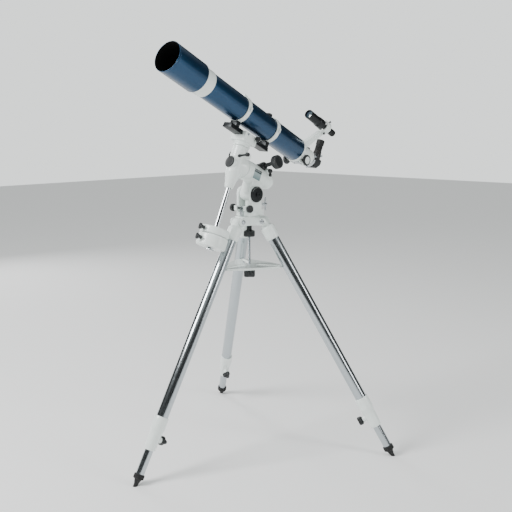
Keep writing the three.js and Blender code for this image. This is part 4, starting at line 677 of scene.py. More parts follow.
ANODISED = anodised()
ENGRAVED = engraved_paint()
pin = rod(bmesh.new(), "x", 8, -42, 42, (0, PIN_Z))
spun(pin, [(0, 40.3), (31.5, 40.3), (31.5, 46), (29.5, 48), (24.5, 48), (23.5, 49.2), (0, 49.2)], "x",
     (0, PIN_Z), 128, ease=0.8)
spun(pin, [(0, -47.3), (12.5, -47.3), (14, -46), (14, -40.3), (0, -40.3)], "x", (0, PIN_Z), 6, ease=0.3)
piece("latitude_pin_and_disc", pin, row, "azimuth", ["latitude_pin"], ANODISED)
marks = bmesh.new()
for mark in range(25):
    length = 3.6 if mark % 5 == 0 else 2.2
    tick = brick(bmesh.new(), (47.9, -0.22, 28.9 - length), (48.15, 0.22, 28.9), 0)
    turned_about(tick, -60 + mark * 5, "X")
    shifted(tick, (0, 0, PIN_Z))
    marks = joined(marks, tick)
piece("latitude_marks", marks, row, "azimuth", [], ENGRAVED)
cap_screw = spun(bmesh.new(), [(0, 49), (9, 49), (9, 54.5), (8, 55.6), (4.6, 55.6), (4.4, 52.5), (0, 52.5)],
                 "x", (0, PIN_Z), 60, ease=0.5)
piece("latitude_cap_screw", cap_screw, row, "azimuth", [], ANODISED)

t_bolt = spun(bmesh.new(), [(0, 13.2), (4, 13.2), (5, 14.5), (5, 77), (7.3, 79), (7.3, 94), (6, 95),
                            (0, 95)], "y", (0, BOLT_Z), 48, ease=0.6)
spun(t_bolt, [(0, BOLT_Z - 26.5), (2.6, BOLT_Z - 26.5), (3.2, BOLT_Z - 25), (3.2, BOLT_Z + 25),
              (2.6, BOLT_Z + 26.5), (0, BOLT_Z + 26.5)], "z", (0, 91), 32)
spun(t_bolt, [(5.2, 44.3), (8.6, 44.3), (9.4, 45.2), (9.4, 49.5), (8.6, 50.4), (5.2, 50.4)], "y",
     (0, BOLT_Z), 6, closed=True, ease=0.3)
piece("latitude_t_bolt", t_bolt, row, "latitude_screw", ["latitude_bolt"], ZINC)


# ------------------------------------------------------------------ polar housing
# The barrel that carries the polar shaft, tipped to the latitude: a big alloy casting with a lug
# between the cheeks and a flat pad for the plate, enamelled like the base. The worm lies across it
# under a black cylinder that stands for its black boss and is also painted shadow under the housing.
RISE, DEC_AHEAD, WORM_BEHIND = 78, 111.7, 121
polar_y, head_z = -vector_of("ra_turn"), vector_of("dec_turn")
polar = seat(vector_of("latitude_tilt", "pos_m"), polar_y, head_z)
head = seat(vector_of("ra_turn", "pos_m"), polar_y, head_z)
worm_x = vector_of("ra_slow_motion")
worm = seat(vector_of("ra_turn", "pos_m") + polar_y * (WORM_BEHIND * MM), polar_y, worm_x.cross(polar_y))
WORM_OFF = 35.3
TAIL_LEAN, POLAR_LEVER_LEAN = 23.96, 20


def station(behind):
    return behind - DEC_AHEAD


POLAR_LOCK = (station(142), RISE + 32)
barrel = bmesh.new()
front, rear, end = station(40), station(150), station(203)
spun(barrel, [(0, front), (37, front), (40, front + 3), (40, front + 9), (39.2, front + 10),
              (39.2, front + 11), (40, front + 12), (40, rear - 9), (34.5, rear), (32, rear + 4),
              (32, end - 20), (27, end - 6), (17, end), (0, end)], "y", (0, RISE), 96, ease=2.5)
brick(barrel, (-26.5, -27, 0), (26.5, 27, RISE - 20), 2)
rod(barrel, "x", 27, -26.5, 26.5, ease=1.5)
tail = brick(bmesh.new(), (-12, -11, -56), (12, 11, 0), 2)
brick(barrel, (0, -47, RISE - 28), (40.5, -2, RISE + 16), 1)
rod(barrel, "x", 9, 20, 41, POLAR_LOCK, ease=1)
barrel = cast(joined(barrel, turned_about(tail, TAIL_LEAN, "X")), 1.6, 5)
worm_space = rod(bmesh.new(), "x", 16.4, 21, 90, (0, WORM_OFF), ease=0)
bmesh.ops.transform(worm_space, matrix=(polar.inverted() @ worm).normalized().to_3x3().to_4x4(),
                    verts=worm_space.verts)
shifted(worm_space, (polar.inverted() @ worm.translation) / MM)
for cutter in (rod(bmesh.new(), "y", 19.4, front - 2, rear - 1, (0, RISE)),
               rod(bmesh.new(), "x", 8.4, -28, 28), worm_space, rod(bmesh.new(), "x", SCREW_BORE, 30, 44,
                                                                    POLAR_LOCK, ease=0)):
    barrel = machined(barrel, cutter)
piece("polar_housing_casting", barrel, polar, "polar", ["polar_housing"], ENAMEL)

# Painted shadow: this black cylinder is the worm's black boss and also the shadow under the housing beside
# it.
worm_boss_and_shadow = rod(bmesh.new(), "x", 14.4, -21, 21, (0, WORM_OFF), steps=96, ease=1.5)
for place in (-15, 15):
    rod(worm_boss_and_shadow, "z", 2.4, WORM_OFF + 12.5, WORM_OFF + 14.9, (place, 0), steps=24, ease=0.4)
worm_boss_and_shadow = machined(worm_boss_and_shadow, rod(bmesh.new(), "x", 9.4, -15, 24, (0, WORM_OFF)))
piece("worm_boss_and_painted_shadow", worm_boss_and_shadow, worm, "polar", [], ABS)


# ------------------------------------------------------------------ scale plate
# A printed aluminium plate glued to the housing's pad: a dark band with a row of plain graduations
# over a grey field. It carries no lettering.
def printed_plate():
    """Screen-printed sheet aluminium: satin ink on metal, the graduations 2 mm apart."""
    material, tree, output, bench = new_material("printed_aluminium_plate")
    split = add(tree, "SeparateXYZ", (), {0: bench})
    band = add(tree, "Math", {"operation": "GREATER_THAN", 1: RISE + 1.5}, {0: split.outputs["Z"]})
    wave = add(tree, "Math", {"operation": "PINGPONG", 1: 1.0}, {0: split.outputs["Y"]})
    tick = add(tree, "Math", {"operation": "LESS_THAN", 1: 0.32}, {0: wave.outputs[0]})
    row_low = add(tree, "Math", {"operation": "GREATER_THAN", 1: RISE + 5}, {0: split.outputs["Z"]})
    row_high = add(tree, "Math", {"operation": "LESS_THAN", 1: RISE + 11}, {0: split.outputs["Z"]})
    both = add(tree, "Math", {"operation": "MULTIPLY"}, {0: row_low.outputs[0], 1: row_high.outputs[0]})
    marks = add(tree, "Math", {"operation": "MULTIPLY"}, {0: both.outputs[0], 1: tick.outputs[0]})
    field = add(tree, "MapRange", {"From Min": RISE - 27, "From Max": RISE + 2},
                {"Value": split.outputs["Z"]})
    grey = add(tree, "Mix", {"data_type": "RGBA", 6: linear("#5f7a7c"), 7: linear("#a9babb")},
               {0: field.outputs[0]})
    dark = add(tree, "Mix", {"data_type": "RGBA", 7: linear("#18262a")},
               {0: band.outputs[0], 6: grey.outputs[2]})
    ink = add(tree, "Mix", {"data_type": "RGBA", 7: linear("#d5dddd")},
              {0: marks.outputs[0], 6: dark.outputs[2]})
    film = add(tree, "BsdfPrincipled", {"Metallic": 0.25, "Roughness": 0.33, "Coat Weight": 0.3},
               {"Base Color": ink.outputs[2]})
    tree.links.new(film.outputs[0], output.inputs["Surface"])
    return material


plate = brick(bmesh.new(), (40.4, -44.5, RISE - 25.5), (41.2, -4.5, RISE + 13.5), 0.25)
for y in (-42, -7):
    for z in (RISE - 23, RISE + 11):
        rod(plate, "x", 1.5, 41.0, 41.8, (y, z), steps=20, ease=0.3)
piece("scale_plate", plate, polar, "polar", [], printed_plate())


# ------------------------------------------------------------------ polar worm knob and lock lever
# A moulded knob, the stalk and collar behind it and the worm's own shaft, made as one black piece;
# the lever beside it clamps the polar shaft.
slow = rod(bmesh.new(), "x", 9, -14, 22, (0, WORM_OFF), steps=48)
spun(slow, [(0, 21.3), (13.5, 21.3), (15.6, 23), (16, 27), (16, 38), (13, 44.6), (0, 44.6)], "x",
     (0, WORM_OFF), 96, ease=1.2)
spun(slow, [(0, 44), (8, 44), (8, 60), (7, 62), (8, 64), (8, 91), (0, 91)], "x", (0, WORM_OFF), 64, ease=0.8)
spun(slow, [(0, 90.5), (22, 90.5), (25.6, 92.5), (27, 96), (27, 111), (25.8, 114), (23, 115.4), (19.5, 115.4),
            (18.6, 114.2), (0, 114.2)], "x", (0, WORM_OFF), 180, knurl(45, 0.022), ease=1.5)
piece("polar_slow_motion_knob", slow, worm, "ra_worm", ["ra_knob"], ABS)


def lock_lever(near, length, stub):
    """A clamp lever: hub, tapered arm and rounded grip, hanging along local -Z."""
    lever = rod(bmesh.new(), "x", 8, near, near + 11, steps=64, ease=1.2)
    rod(lever, "x", SCREW_RADIUS, stub, near + 1, steps=32)
    spun(lever, [(0, -length - 6.5), (3.6, -length - 6), (6.2, -length - 2.5), (6.4, -length + 2),
                 (4.6, -length + 7), (3.4, -length * 0.45), (4.4, -3), (0, 2)], "z", (near + 6, 0), 40,
         ease=2.5)
    spun(lever, [(0, near + 10.5), (3.4, near + 10.5), (3.4, near + 12.3), (2.8, near + 12.8),
                 (0, near + 12.8)], "x", steps=6, ease=0.2)
    return lever


lever_seat = (polar @ Matrix.Translation((0, POLAR_LOCK[0] * MM, POLAR_LOCK[1] * MM))
              @ Matrix.Rotation(radians(POLAR_LEVER_LEAN), 4, "X"))
piece("polar_clamp_lever", lock_lever(41.3, 17, 31), lever_seat, "ra_lock", ["ra_lock_lever"],
      ABS)


# ------------------------------------------------------------------ polar shaft
# Inside the housing: the hollow steel shaft and its worm wheel, cut with fine teeth and plated with
# bright zinc like the shaft.
shaft = spun(bmesh.new(), [(12, 39.5), (19, 39.5), (19, 147), (12, 147)], "y", steps=64, closed=True,
             ease=0.4)
spun(shaft, [(18, 114), (25.5, 114), (25.5, 128), (18, 128)], "y", steps=288, closed=True,
     swell=knurl(72, 0.03), ease=0.4)
piece("polar_shaft_and_wheel", shaft, head, "ra", ["ra_shaft"], ZINC)


# ------------------------------------------------------------------ declination housing
# The barrel across the polar axis: casting with a flange that turns on the polar housing, a tapered
# lower end for the counterweight shaft and a capped port in front.
DEC_REAR = 39.2
DEC_WORM, DEC_LOCK, DEC_LEVER_LEAN = (30, 46), (8, 46), -62
crown = bmesh.new()
spun(crown, [(0, -96), (15.5, -96), (17, -94), (19, -80), (31, -35), (31, 62), (30, 63), (30, 65), (31, 66),
             (31, 72), (0, 72)], "z", steps=96, ease=2.5)
spun(crown, [(0, 0), (31, 0), (39, DEC_REAR - 10), (39, DEC_REAR), (0, DEC_REAR)], "y", steps=96, ease=1.6)
rod(crown, "y", 25, -32, 0, steps=96, ease=2)
rod(crown, "x", 13.4, -35, 25, DEC_WORM, steps=64, ease=1.6)
rod(crown, "x", 10, 10, 34, DEC_LOCK, steps=48, ease=1.2)
crown = cast(crown, 1.5, 5)
for cutter in (rod(bmesh.new(), "z", 14.4, 20, 76), rod(bmesh.new(), "z", 10.2, -100, -50),
               rod(bmesh.new(), "y", 15, -36, 44), rod(bmesh.new(), "x", 8.4, -40, 19, DEC_WORM, ease=0),
               rod(bmesh.new(), "x", SCREW_BORE, 18, 38, DEC_LOCK, ease=0)):
    crown = machined(crown, cutter)
piece("declination_housing_casting", crown, head, "ra", ["dec_housing"], ENAMEL)

lid = spun(bmesh.new(), [(0, -36.9), (14, -36.9), (16, -37.3), (20.5, -37.3), (23, -35), (23, -32.4),
                         (14.7, -32.4), (14.7, -26.5), (0, -26.5)], "y", steps=120, swell=knurl(40, 0.012),
           ease=0.8)
piece("polar_port_cap", lid, head, "ra", ["polar_cap"], ABS)

dec_slow = rod(bmesh.new(), "x", 8, -53, 18, DEC_WORM, steps=48)
spun(dec_slow, [(0, -52), (17, -52), (19, -53.5), (20, -56), (20, -68), (18.5, -71), (15, -71.6),
                (14.4, -70.6), (0, -70.6)], "x", DEC_WORM, 144, knurl(36, 0.025), ease=1.2)
piece("declination_slow_motion_knob", dec_slow, head, "dec_worm", ["dec_knob"], ABS)
lever_seat = (head @ Matrix.Translation((0, DEC_LOCK[0] * MM, DEC_LOCK[1] * MM))
              @ Matrix.Rotation(radians(DEC_LEVER_LEAN), 4, "X"))
piece("declination_clamp_lever", lock_lever(34.3, 44, 20), lever_seat, "dec_lock", ["dec_lock_lever"],
      ABS)


# ------------------------------------------------------------------ counterweights on their shaft
# A chromed 20 mm bar with a knurled stop screw, and two cast-iron discs in white enamel, each bored
# to slide and held by its own hand screw.
def chrome_plate():
    """Hard chrome on ground steel: a mirror with only a breath of haze."""
    material, tree, output, bench = new_material("hard_chrome")
    haze = add(tree, "TexNoise", {"Scale": 0.2, "Detail": 4.0}, {"Vector": bench})
    rough = add(tree, "MapRange", {"To Min": 0.04, "To Max": 0.12}, {"Value": haze.outputs["Fac"]})
    plate = add(tree, "BsdfPrincipled", {"Base Color": linear("#d3d7da"), "Metallic": 1.0},
                {"Roughness": rough.outputs[0]})
    tree.links.new(plate.outputs[0], output.inputs["Surface"])
    return material


CHROME = chrome_plate()
bar_piece = rod(bmesh.new(), "z", 10, -341, -50.3, steps=96, ease=1)
bar_piece = machined(bar_piece, rod(bmesh.new(), "z", SCREW_BORE, -344, -327))
piece("counterweight_bar", bar_piece, head, "ra", ["counterweight_shaft"], CHROME)
stop = rod(bmesh.new(), "z", SCREW_RADIUS, -342, -329, steps=32)
spun(stop, [(0, -347.2), (14.6, -347.2), (16, -346), (16, -342.6), (14.8, -341.4), (0, -341.4)], "z",
     steps=144, swell=knurl(48, 0.02), ease=0.5)
piece("stop_screw", stop, head, "ra", ["safety_screw"], CHROME)

for name, near, far, body in (("upper", 260, 289, "weight_high"), ("lower", 290, 337, "weight_low")):
    disc = spun(bmesh.new(), [(10.4, -far), (22, -far), (24, -far + 1.2), (50, -far + 1.2), (52, -far),
                              (55, -far), (58, -far + 3.5), (58, -near - 3.5), (55, -near), (52, -near),
                              (50, -near - 1.2), (24, -near - 1.2), (22, -near), (10.4, -near)], "z",
                steps=128, closed=True, ease=1.5)
    middle = -(near + far) / 2
    disc = machined(disc, rod(bmesh.new(), "y", SCREW_BORE, -62, -5, (0, middle)))
    piece(f"weight_{name}_disc", disc, head, body, [f"weight_{name}"], ENAMEL)
    knob = hand_knob(bmesh.new(), "y", 13, -68, -80.6, (0, middle), 3, 5)
    spun(knob, [(0, -69), (7, -69), (7, -58.4), (0, -58.4)], "y", (0, middle), 48, ease=0.8)
    rod(knob, "y", SCREW_RADIUS, -59, -10.9, (0, middle), steps=32)
    piece(f"weight_{name}_hand_screw", knob, head, f"{body}_screw", [f"weight_{name}_knob"],
          ABS)


# ------------------------------------------------------------------ saddle and dovetail
# The saddle is one casting with the declination shaft, planed to a dovetail groove; the black
# anodised bar sits in it and is held by a side screw.
tube_y = vector_of("focus_travel")
tube = seat(vector_of("ra_turn", "pos_m"), tube_y, head_z)
BAR_LOW, BAR_HIGH = 109.7, 127.8
SADDLE_SCREW = (25, 117.9)
groove = [(-22.4, 109.4), (22.4, 109.4), (22.4, BAR_LOW + 0.3), (18.4, BAR_HIGH + 0.4), (18.4, 140),
          (-18.4, 140), (-18.4, BAR_HIGH + 0.4), (-22.4, BAR_LOW + 0.3)]
yoke = bmesh.new()
spun(yoke, [(0, 72.4), (32, 72.4), (33, 73.5), (33, 80), (31.5, 82), (31.5, 90), (0, 90)], "z", steps=96,
     ease=1.5)
brick(yoke, (-37, -38, 89.4), (37, 38, 126.4), 2.5)
yoke = cast(yoke, 1.5, 4)
yoke = machined(yoke, prism(bmesh.new(), groove, -42, 42, "xz", ease=0))
yoke = machined(yoke, rod(bmesh.new(), "x", SCREW_BORE, 12, 42, SADDLE_SCREW, ease=0))
yoke = joined(yoke, rod(bmesh.new(), "z", 14, 22, 74))
piece("saddle_casting", yoke, tube, "dec", ["saddle"], ENAMEL)
side_knob = rod(bmesh.new(), "x", SCREW_RADIUS, 22.4, 41, SADDLE_SCREW, steps=32)
hand_knob(side_knob, "x", 12, 40, 55.6, SADDLE_SCREW, 5, 4)
piece("saddle_hand_screw", side_knob, tube, "saddle_screw", ["saddle_knob"], ABS)
grub = spun(bmesh.new(), [(0, 36.5), (5, 36.5), (5, 39.6), (4.4, 40.2), (2.4, 40.2), (2.2, 38), (0, 38)], "x",
            (-24, SADDLE_SCREW[1]), 40, ease=0.4)
piece("saddle_set_screw", grub, tube, "dec", [], ZINC)

bar_shape = [(-22, BAR_LOW), (22, BAR_LOW), (18, BAR_HIGH), (-18, BAR_HIGH)]
dovetail = prism(bmesh.new(), eased(bar_shape, 1.2, closed=True), -112, 137, "xz", ease=0.8)
piece("dovetail", dovetail, tube, "dec", ["dovetail_bar"], ANODISED)


# ------------------------------------------------------------------ tube rings
# Two hinged alloy rings in white enamel, lined with black felt, bolted to the dovetail by their
# black feet; the rear one carries a camera stud with a round knob.
AXIS = 198.7
TUBE_RADIUS = 49.8
RING_STATIONS = {"front": -72, "rear": 126}
RING_HALF = 10
STUD_LEAN = -20


def felt():
    """Pressed wool felt: matt black with a soft 0.5 mm pile that lifts at grazing angles."""
    material, tree, output, bench = new_material("black_felt")
    pile = add(tree, "TexNoise", {"Scale": 2.0, "Detail": 5.0}, {"Vector": bench})
    colour = add(tree, "Mix", {"data_type": "RGBA", 6: linear("#08090a"), 7: linear("#1b1d1f")},
                 {0: pile.outputs["Fac"]})
    bump = add(tree, "Bump", {"Strength": 0.6, "Distance": 0.0003}, {"Height": pile.outputs["Fac"]})
    wool = add(tree, "BsdfPrincipled", {"Roughness": 0.95, "Sheen Weight": 0.5},
               {"Base Color": colour.outputs[2], "Normal": bump.outputs[0]})
    tree.links.new(wool.outputs[0], output.inputs["Surface"])
    return material


FELT = felt()
INNER, OUTER = TUBE_RADIUS + 0.3, TUBE_RADIUS + 3.8
for name, middle in RING_STATIONS.items():
    low, high = middle - RING_HALF, middle + RING_HALF
    band = spun(bmesh.new(), [(INNER, low), (OUTER - 0.8, low), (OUTER, low + 1), (OUTER, high - 1),
                              (OUTER - 0.8, high), (INNER, high)], "y", (0, AXIS), 144, closed=True, ease=0.4)
    for side in (-1, 1):
        spots = sorted((side * (OUTER - 1.5), side * (OUTER + 8)))
        for bottom, top in ((AXIS - 7, AXIS - 0.4), (AXIS + 0.4, AXIS + 7)):
            brick(band, (spots[0], low + 6, bottom), (spots[1], high - 6, top), 1)
    rod(band, "z", 2.6, AXIS - 9, AXIS + 9.5, (OUTER + 5, middle), steps=24)
    rod(band, "y", 3.2, low + 5.4, high - 5.4, (-OUTER - 5, AXIS), steps=24)
    crest = brick(bmesh.new(), (-13, low, INNER + 1.2), (13, high, OUTER + 4), 1.2)
    if name == "rear":
        turned_about(crest, STUD_LEAN, "Y")
    shifted(crest, (0, 0, AXIS))
    band = joined(band, machined(crest, rod(bmesh.new(), "y", INNER + 0.8, low - 2, high + 2, (0, AXIS),
                                            144)))
    piece(f"tube_ring_{name}", band, tube, "dec", [f"ring_{name}"], ENAMEL)
    shoe = brick(bmesh.new(), (-18, low, 128.1), (18, high, 150), 1.2)
    shoe = machined(shoe, rod(bmesh.new(), "y", INNER + 0.6, low - 2, high + 2, (0, AXIS), 144))
    piece(f"ring_{name}_shoe", shoe, tube, "dec", [], ANODISED)
    lining = spun(bmesh.new(), [(TUBE_RADIUS + 0.02, low - 0.6), (INNER + 0.5, low - 0.6),
                                (INNER + 0.5, high + 0.6), (TUBE_RADIUS + 0.02, high + 0.6)], "y",
                  (0, AXIS), 128, closed=True, ease=0)
    piece(f"ring_{name}_felt", lining, tube, "dec", [], FELT)

stud = rod(bmesh.new(), "z", 3.2, OUTER + 2, OUTER + 12, (0, RING_STATIONS["rear"]), steps=32)
spun(stud, [(0, OUTER + 8.6), (15.6, OUTER + 8.6), (17, OUTER + 10), (17, OUTER + 14), (16, OUTER + 15),
            (10, OUTER + 15), (9, OUTER + 14.2), (0, OUTER + 14.2)], "z", (0, RING_STATIONS["rear"]), 120,
     knurl(30, 0.03), ease=0.6)
turned_about(stud, STUD_LEAN, "Y")
shifted(stud, (0, 0, AXIS))
piece("camera_stud_knob", stud, tube, "dec", [], ABS)


# ------------------------------------------------------------------ main tube and dew shield
# Rolled and seam-welded aluminium, sprayed metallic blue under clear lacquer outside and flat black
# inside. The dew shield slides over the lens cell.
def blue_lacquer():
    """Automotive base coat and clear coat: aluminium flakes about 0.5 mm apart under a wet gloss."""
    material, tree, output, bench = new_material("metallic_blue_lacquer")
    flake = add(tree, "TexVoronoi", {"Scale": 1.8}, {"Vector": bench})
    sparkle = add(tree, "MapRange", {"To Min": 0.0, "To Max": 0.22}, {"Value": flake.outputs["Color"]})
    colour = add(tree, "Mix", {"data_type": "RGBA", 6: linear("#0b2c50"), 7: linear("#4a8fb0")},
                 {0: sparkle.outputs[0]})
    cloud = add(tree, "TexNoise", {"Scale": 0.03, "Detail": 2.0}, {"Vector": bench})
    rough = add(tree, "MapRange", {"To Min": 0.28, "To Max": 0.36}, {"Value": cloud.outputs["Fac"]})
    lacquer = add(tree, "BsdfPrincipled", {"Metallic": 0.8, "Coat Weight": 0.45, "Coat Roughness": 0.05},
                  {"Base Color": colour.outputs[2], "Roughness": rough.outputs[0]})
    tree.links.new(lacquer.outputs[0], output.inputs["Surface"])
    return material


def flat_black():
    """Flat optical black: hardly any gloss, so the bore swallows light."""
    material, tree, output, bench = new_material("flat_optical_black")
    flock = add(tree, "TexNoise", {"Scale": 2.5, "Detail": 4.0}, {"Vector": bench})
    colour = add(tree, "Mix", {"data_type": "RGBA", 6: linear("#050606"), 7: linear("#111314")},
                 {0: flock.outputs["Fac"]})
    paint = add(tree, "BsdfPrincipled", {"Roughness": 0.92, "Specular IOR Level": 0.2},
                {"Base Color": colour.outputs[2]})
    tree.links.new(paint.outputs[0], output.inputs["Surface"])
    return material


BLUE = blue_lacquer()
FLAT = flat_black()
TUBE_FRONT, TUBE_REAR = -296.7, 327
body_tube = spun(bmesh.new(), [(48.2, TUBE_FRONT), (TUBE_RADIUS, TUBE_FRONT), (TUBE_RADIUS, TUBE_REAR),
                               (48.2, TUBE_REAR)], "y", (0, AXIS), 192, closed=True, ease=0.3)
piece("optical_tube", body_tube, tube, "dec", ["main_tube"], BLUE)
inside = spun(bmesh.new(), [(47.8, TUBE_FRONT + 2), (48.1, TUBE_FRONT + 2), (48.1, TUBE_REAR - 14),
                            (47.8, TUBE_REAR - 14)], "y", (0, AXIS), 96, closed=True, ease=0)
piece("optical_tube_black_lining", inside, tube, "dec", [], FLAT)

hood = spun(bmesh.new(), [(55.7, -494), (56.3, -494), (57.4, -493), (57.4, -488), (56.9, -487.3),
                          (56.9, -486.3), (57.4, -485.6), (57.4, -336.4), (56.4, -335), (55.7, -335)], "y",
            (0, AXIS), 192, closed=True, ease=0.4)
piece("dew_shield_hood", hood, tube, "dec", ["dew_shield"], BLUE)
hood_lining = spun(bmesh.new(), [(55.4, -493.4), (55.8, -493.4), (55.8, -353), (55.4, -353)], "y",
                   (0, AXIS), 160, closed=True, ease=0)
piece("dew_shield_black_lining", hood_lining, tube, "dec", [], FLAT)


# ------------------------------------------------------------------ lens cell and objective
# The cell is turned aluminium in white enamel, screwed over the tube's front end; inside it sits a
# cemented achromat with a green and violet multicoating, held by a black ring.
def coated_glass():
    """Crown glass with a multilayer coating: nearly black, with a green-violet reflection."""
    material, tree, output, bench = new_material("multicoated_crown_glass")
    facing = add(tree, "LayerWeight", {"Blend": 0.35})
    tint = add(tree, "Mix", {"data_type": "RGBA", 6: linear("#20463f"), 7: linear("#5a3f78")},
               {0: facing.outputs["Facing"]})
    faint = add(tree, "TexNoise", {"Scale": 0.05, "Detail": 2.0}, {"Vector": bench})
    rough = add(tree, "MapRange", {"To Min": 0.015, "To Max": 0.04}, {"Value": faint.outputs["Fac"]})
    glass = add(tree, "BsdfPrincipled",
                {"IOR": 1.52, "Metallic": 0.15, "Coat Weight": 1.0, "Coat Roughness": 0.01,
                 "Specular IOR Level": 0.6},
                {"Base Color": tint.outputs[2], "Roughness": rough.outputs[0]})
    tree.links.new(glass.outputs[0], output.inputs["Surface"])
    return material


def domed(radius, edge, bulge, steps):
    """The curve of a lens from its middle to its rim, facing down its axis."""
    return [(radius * i / steps, edge - bulge * (1 - (i / steps) ** 2)) for i in range(steps + 1)]


GLASS = coated_glass()
cell = spun(bmesh.new(), [(50.1, -285), (50.9, -285), (51.8, -286), (51.8, -291), (51.3, -291.6),
                          (51.3, -292.6), (51.8, -293.2), (51.8, -338), (55.1, -338), (55.1, -351),
                          (46.3, -351), (46.3, -303), (44, -303), (44, -297), (50.1, -297)], "y", (0, AXIS),
            160, closed=True, ease=0.5)
piece("lens_cell_ring", cell, tube, "dec", ["lens_cell"], ENAMEL)
keeper = spun(bmesh.new(), [(42, -318.4), (43, -320.4), (46.2, -320.4), (46.2, -350.6), (45.6, -351),
                            (54.8, -351.4), (54.8, -351.9), (44.4, -351.9), (44.2, -322), (42, -320.6)],
              "y", (0, AXIS), 128, closed=True, ease=0.2)
piece("objective_keeper_ring", keeper, tube, "dec", [], FLAT)
lens = spun(bmesh.new(), domed(46, -317.3, 3, 16) + [(46, -303.3), (0, -303.3)], "y", (0, AXIS), 128, ease=0)
piece("achromat", lens, tube, "dec", ["objective_lens"], GLASS)


# ------------------------------------------------------------------ focuser
# A cast and turned body screwed into the tube's rear end, enamelled white. The chromed drawtube
# slides in it, and the cross shaft below it has a fluted knob at each end.
PINION, HOLE_CIRCLE = (362, AXIS - 33), 10
HOLDER_SCREW = (0, 447)
plug, flange = TUBE_REAR - 12, TUBE_REAR + 0.3
focus = spun(bmesh.new(), [(27.3, plug), (47.4, plug), (47.4, flange), (50.4, flange), (51, flange + 1),
                           (51, flange + 12), (48, flange + 14), (41, flange + 27), (37.6, flange + 38),
                           (37, flange + 44), (37, 412), (38.2, 414), (38.2, 424), (36.4, 429), (34, 430),
                           (27.3, 430)], "y", (0, AXIS), 144, closed=True, ease=1.6)
box = brick(bmesh.new(), (-30, 348, AXIS - 45), (30, 384, AXIS - 20), 2.5)
box = machined(box, rod(bmesh.new(), "y", 27.4, 340, 392, (0, AXIS), 96))
box = machined(box, rod(bmesh.new(), "x", 6.0, -34, 34, PINION))
focus = joined(focus, box)
piece("focuser_casting", focus, tube, "dec", ["focuser_body"], ENAMEL)
pinion_cover = brick(bmesh.new(), (-22, 351, AXIS - 46.6), (22, 381, AXIS - 44.8), 0.6)
for x in (-17, 17):
    for y in (355, 377):
        rod(pinion_cover, "z", 2.6, AXIS - 48.2, AXIS - 46, (x, y), steps=28, ease=0.5)
piece("pinion_cover_plate", pinion_cover, tube, "dec", [], ZINC)
tension = spun(bmesh.new(), [(0, AXIS + 36), (7.2, AXIS + 36), (8, AXIS + 37), (8, AXIS + 43),
                             (7, AXIS + 44.2), (0, AXIS + 44.2)], "z", (0, 419), 96, knurl(24, 0.04),
               ease=0.5)
piece("drawtube_lock_screw", tension, tube, "dec", [], ABS)

draw = spun(bmesh.new(), [(24.5, 300), (27, 300), (27, 440), (29.6, 440), (31, 441.5), (31, 452), (29, 454),
                          (16.3, 454), (16.3, 442), (24.5, 440)], "y", (0, AXIS), 144, closed=True,
            ease=0.6)
piece("chromed_drawtube", draw, tube, "draw", ["drawtube"], CHROME)
for angle in (60, 180, 300):
    thumb = rod(bmesh.new(), "z", 2, 17, 33, HOLDER_SCREW, steps=20)
    spun(thumb, [(0, 31.4), (4.2, 31.4), (4.6, 32), (4.6, 37), (4, 37.8), (0, 37.8)], "z", HOLDER_SCREW, 60,
         knurl(15, 0.06), ease=0.4)
    turned_about(thumb, angle, "Y")
    shifted(thumb, (0, 0, AXIS))
    piece(f"eyepiece_holder_screw_{angle}", thumb, tube, "draw", [], ZINC)

cross = rod(bmesh.new(), "x", 3.5, -45, 45, PINION, steps=40)
rod(cross, "x", 5.6, -25, 25, PINION, steps=40)
for side in (-1, 1):
    spun(cross, [(0, side * 44), (9, side * 44), (11, side * 46), (20, side * 46), (22.6, side * 47),
                 (23.5, side * 49), (23.5, side * 54), (22, side * 56.6), (17, side * 56.8),
                 (16, side * 55.8), (0, side * 55.8)], "x", PINION, 192, knurl(32, 0.04), ease=1.0)
piece("focus_knobs_and_shaft", cross, tube, "focus", ["focus_knobs"], ABS)
for side in (-1, 1):
    near = side * 55.9
    face = spun(bmesh.new(), [(0, near), (15.6, near), (15.6, near + side * 0.8), (15, near + side),
                              (5, near + side), (4.4, near + side * 0.4), (0, near + side * 0.4)], "x",
                PINION, 96, ease=0.3)
    for hole in range(6):
        turn = radians(60 * hole)
        at = (PINION[0] + HOLE_CIRCLE * cos(turn), PINION[1] + HOLE_CIRCLE * sin(turn))
        face = machined(face, rod(bmesh.new(), "x", 2.6, *sorted((near + side * 0.3, near + side * 3)), at,
                                  24, 0))
    piece(f"focus_knob_face_{'right' if side > 0 else 'left'}", face, tube, "focus", [],
          ENAMEL)


# ------------------------------------------------------------------ star diagonal and eyepiece
# A moulded mirror box with a chromed nose, and a 31.8 mm eyepiece with a rubber grip and eyecup,
# clamped by a small thumb screw.
EYEPIECE_Y = 492
nose = spun(bmesh.new(), [(14.4, 443), (15.9, 443), (15.9, 467), (14.4, 467)], "y", (0, AXIS), 96,
            closed=True, ease=0.4)
piece("diagonal_nose", nose, tube, "star_diagonal", [], CHROME)
side_view = [(466, AXIS - 24), (487, AXIS - 24), (512, AXIS + 2), (512, AXIS + 22), (466, AXIS + 22)]
mirror_box = prism(bmesh.new(), eased(side_view, 4, closed=True), -20, 20, "yz", ease=2.2, segments=3)
spun(mirror_box, [(0, 454.3), (18, 454.3), (19, 455.4), (19, 467), (0, 467)], "y", (0, AXIS), 96, ease=0.8)
spun(mirror_box, [(0, AXIS + 20), (18.5, AXIS + 20), (18.5, AXIS + 30), (17.6, AXIS + 31),
                  (17.6, AXIS + 32.5), (18.5, AXIS + 33.5), (18.5, AXIS + 41), (17.5, AXIS + 42),
                  (0, AXIS + 42)], "z", (0, EYEPIECE_Y), 96, ease=0.8)
mirror_box = machined(mirror_box, rod(bmesh.new(), "z", 16.3, AXIS + 4, AXIS + 46, (0, EYEPIECE_Y), 96))
piece("star_diagonal_body", mirror_box, tube, "star_diagonal", ["diagonal"], ABS)
clamp = rod(bmesh.new(), "x", 2, 16.5, 24, (EYEPIECE_Y, AXIS + 36), steps=20)
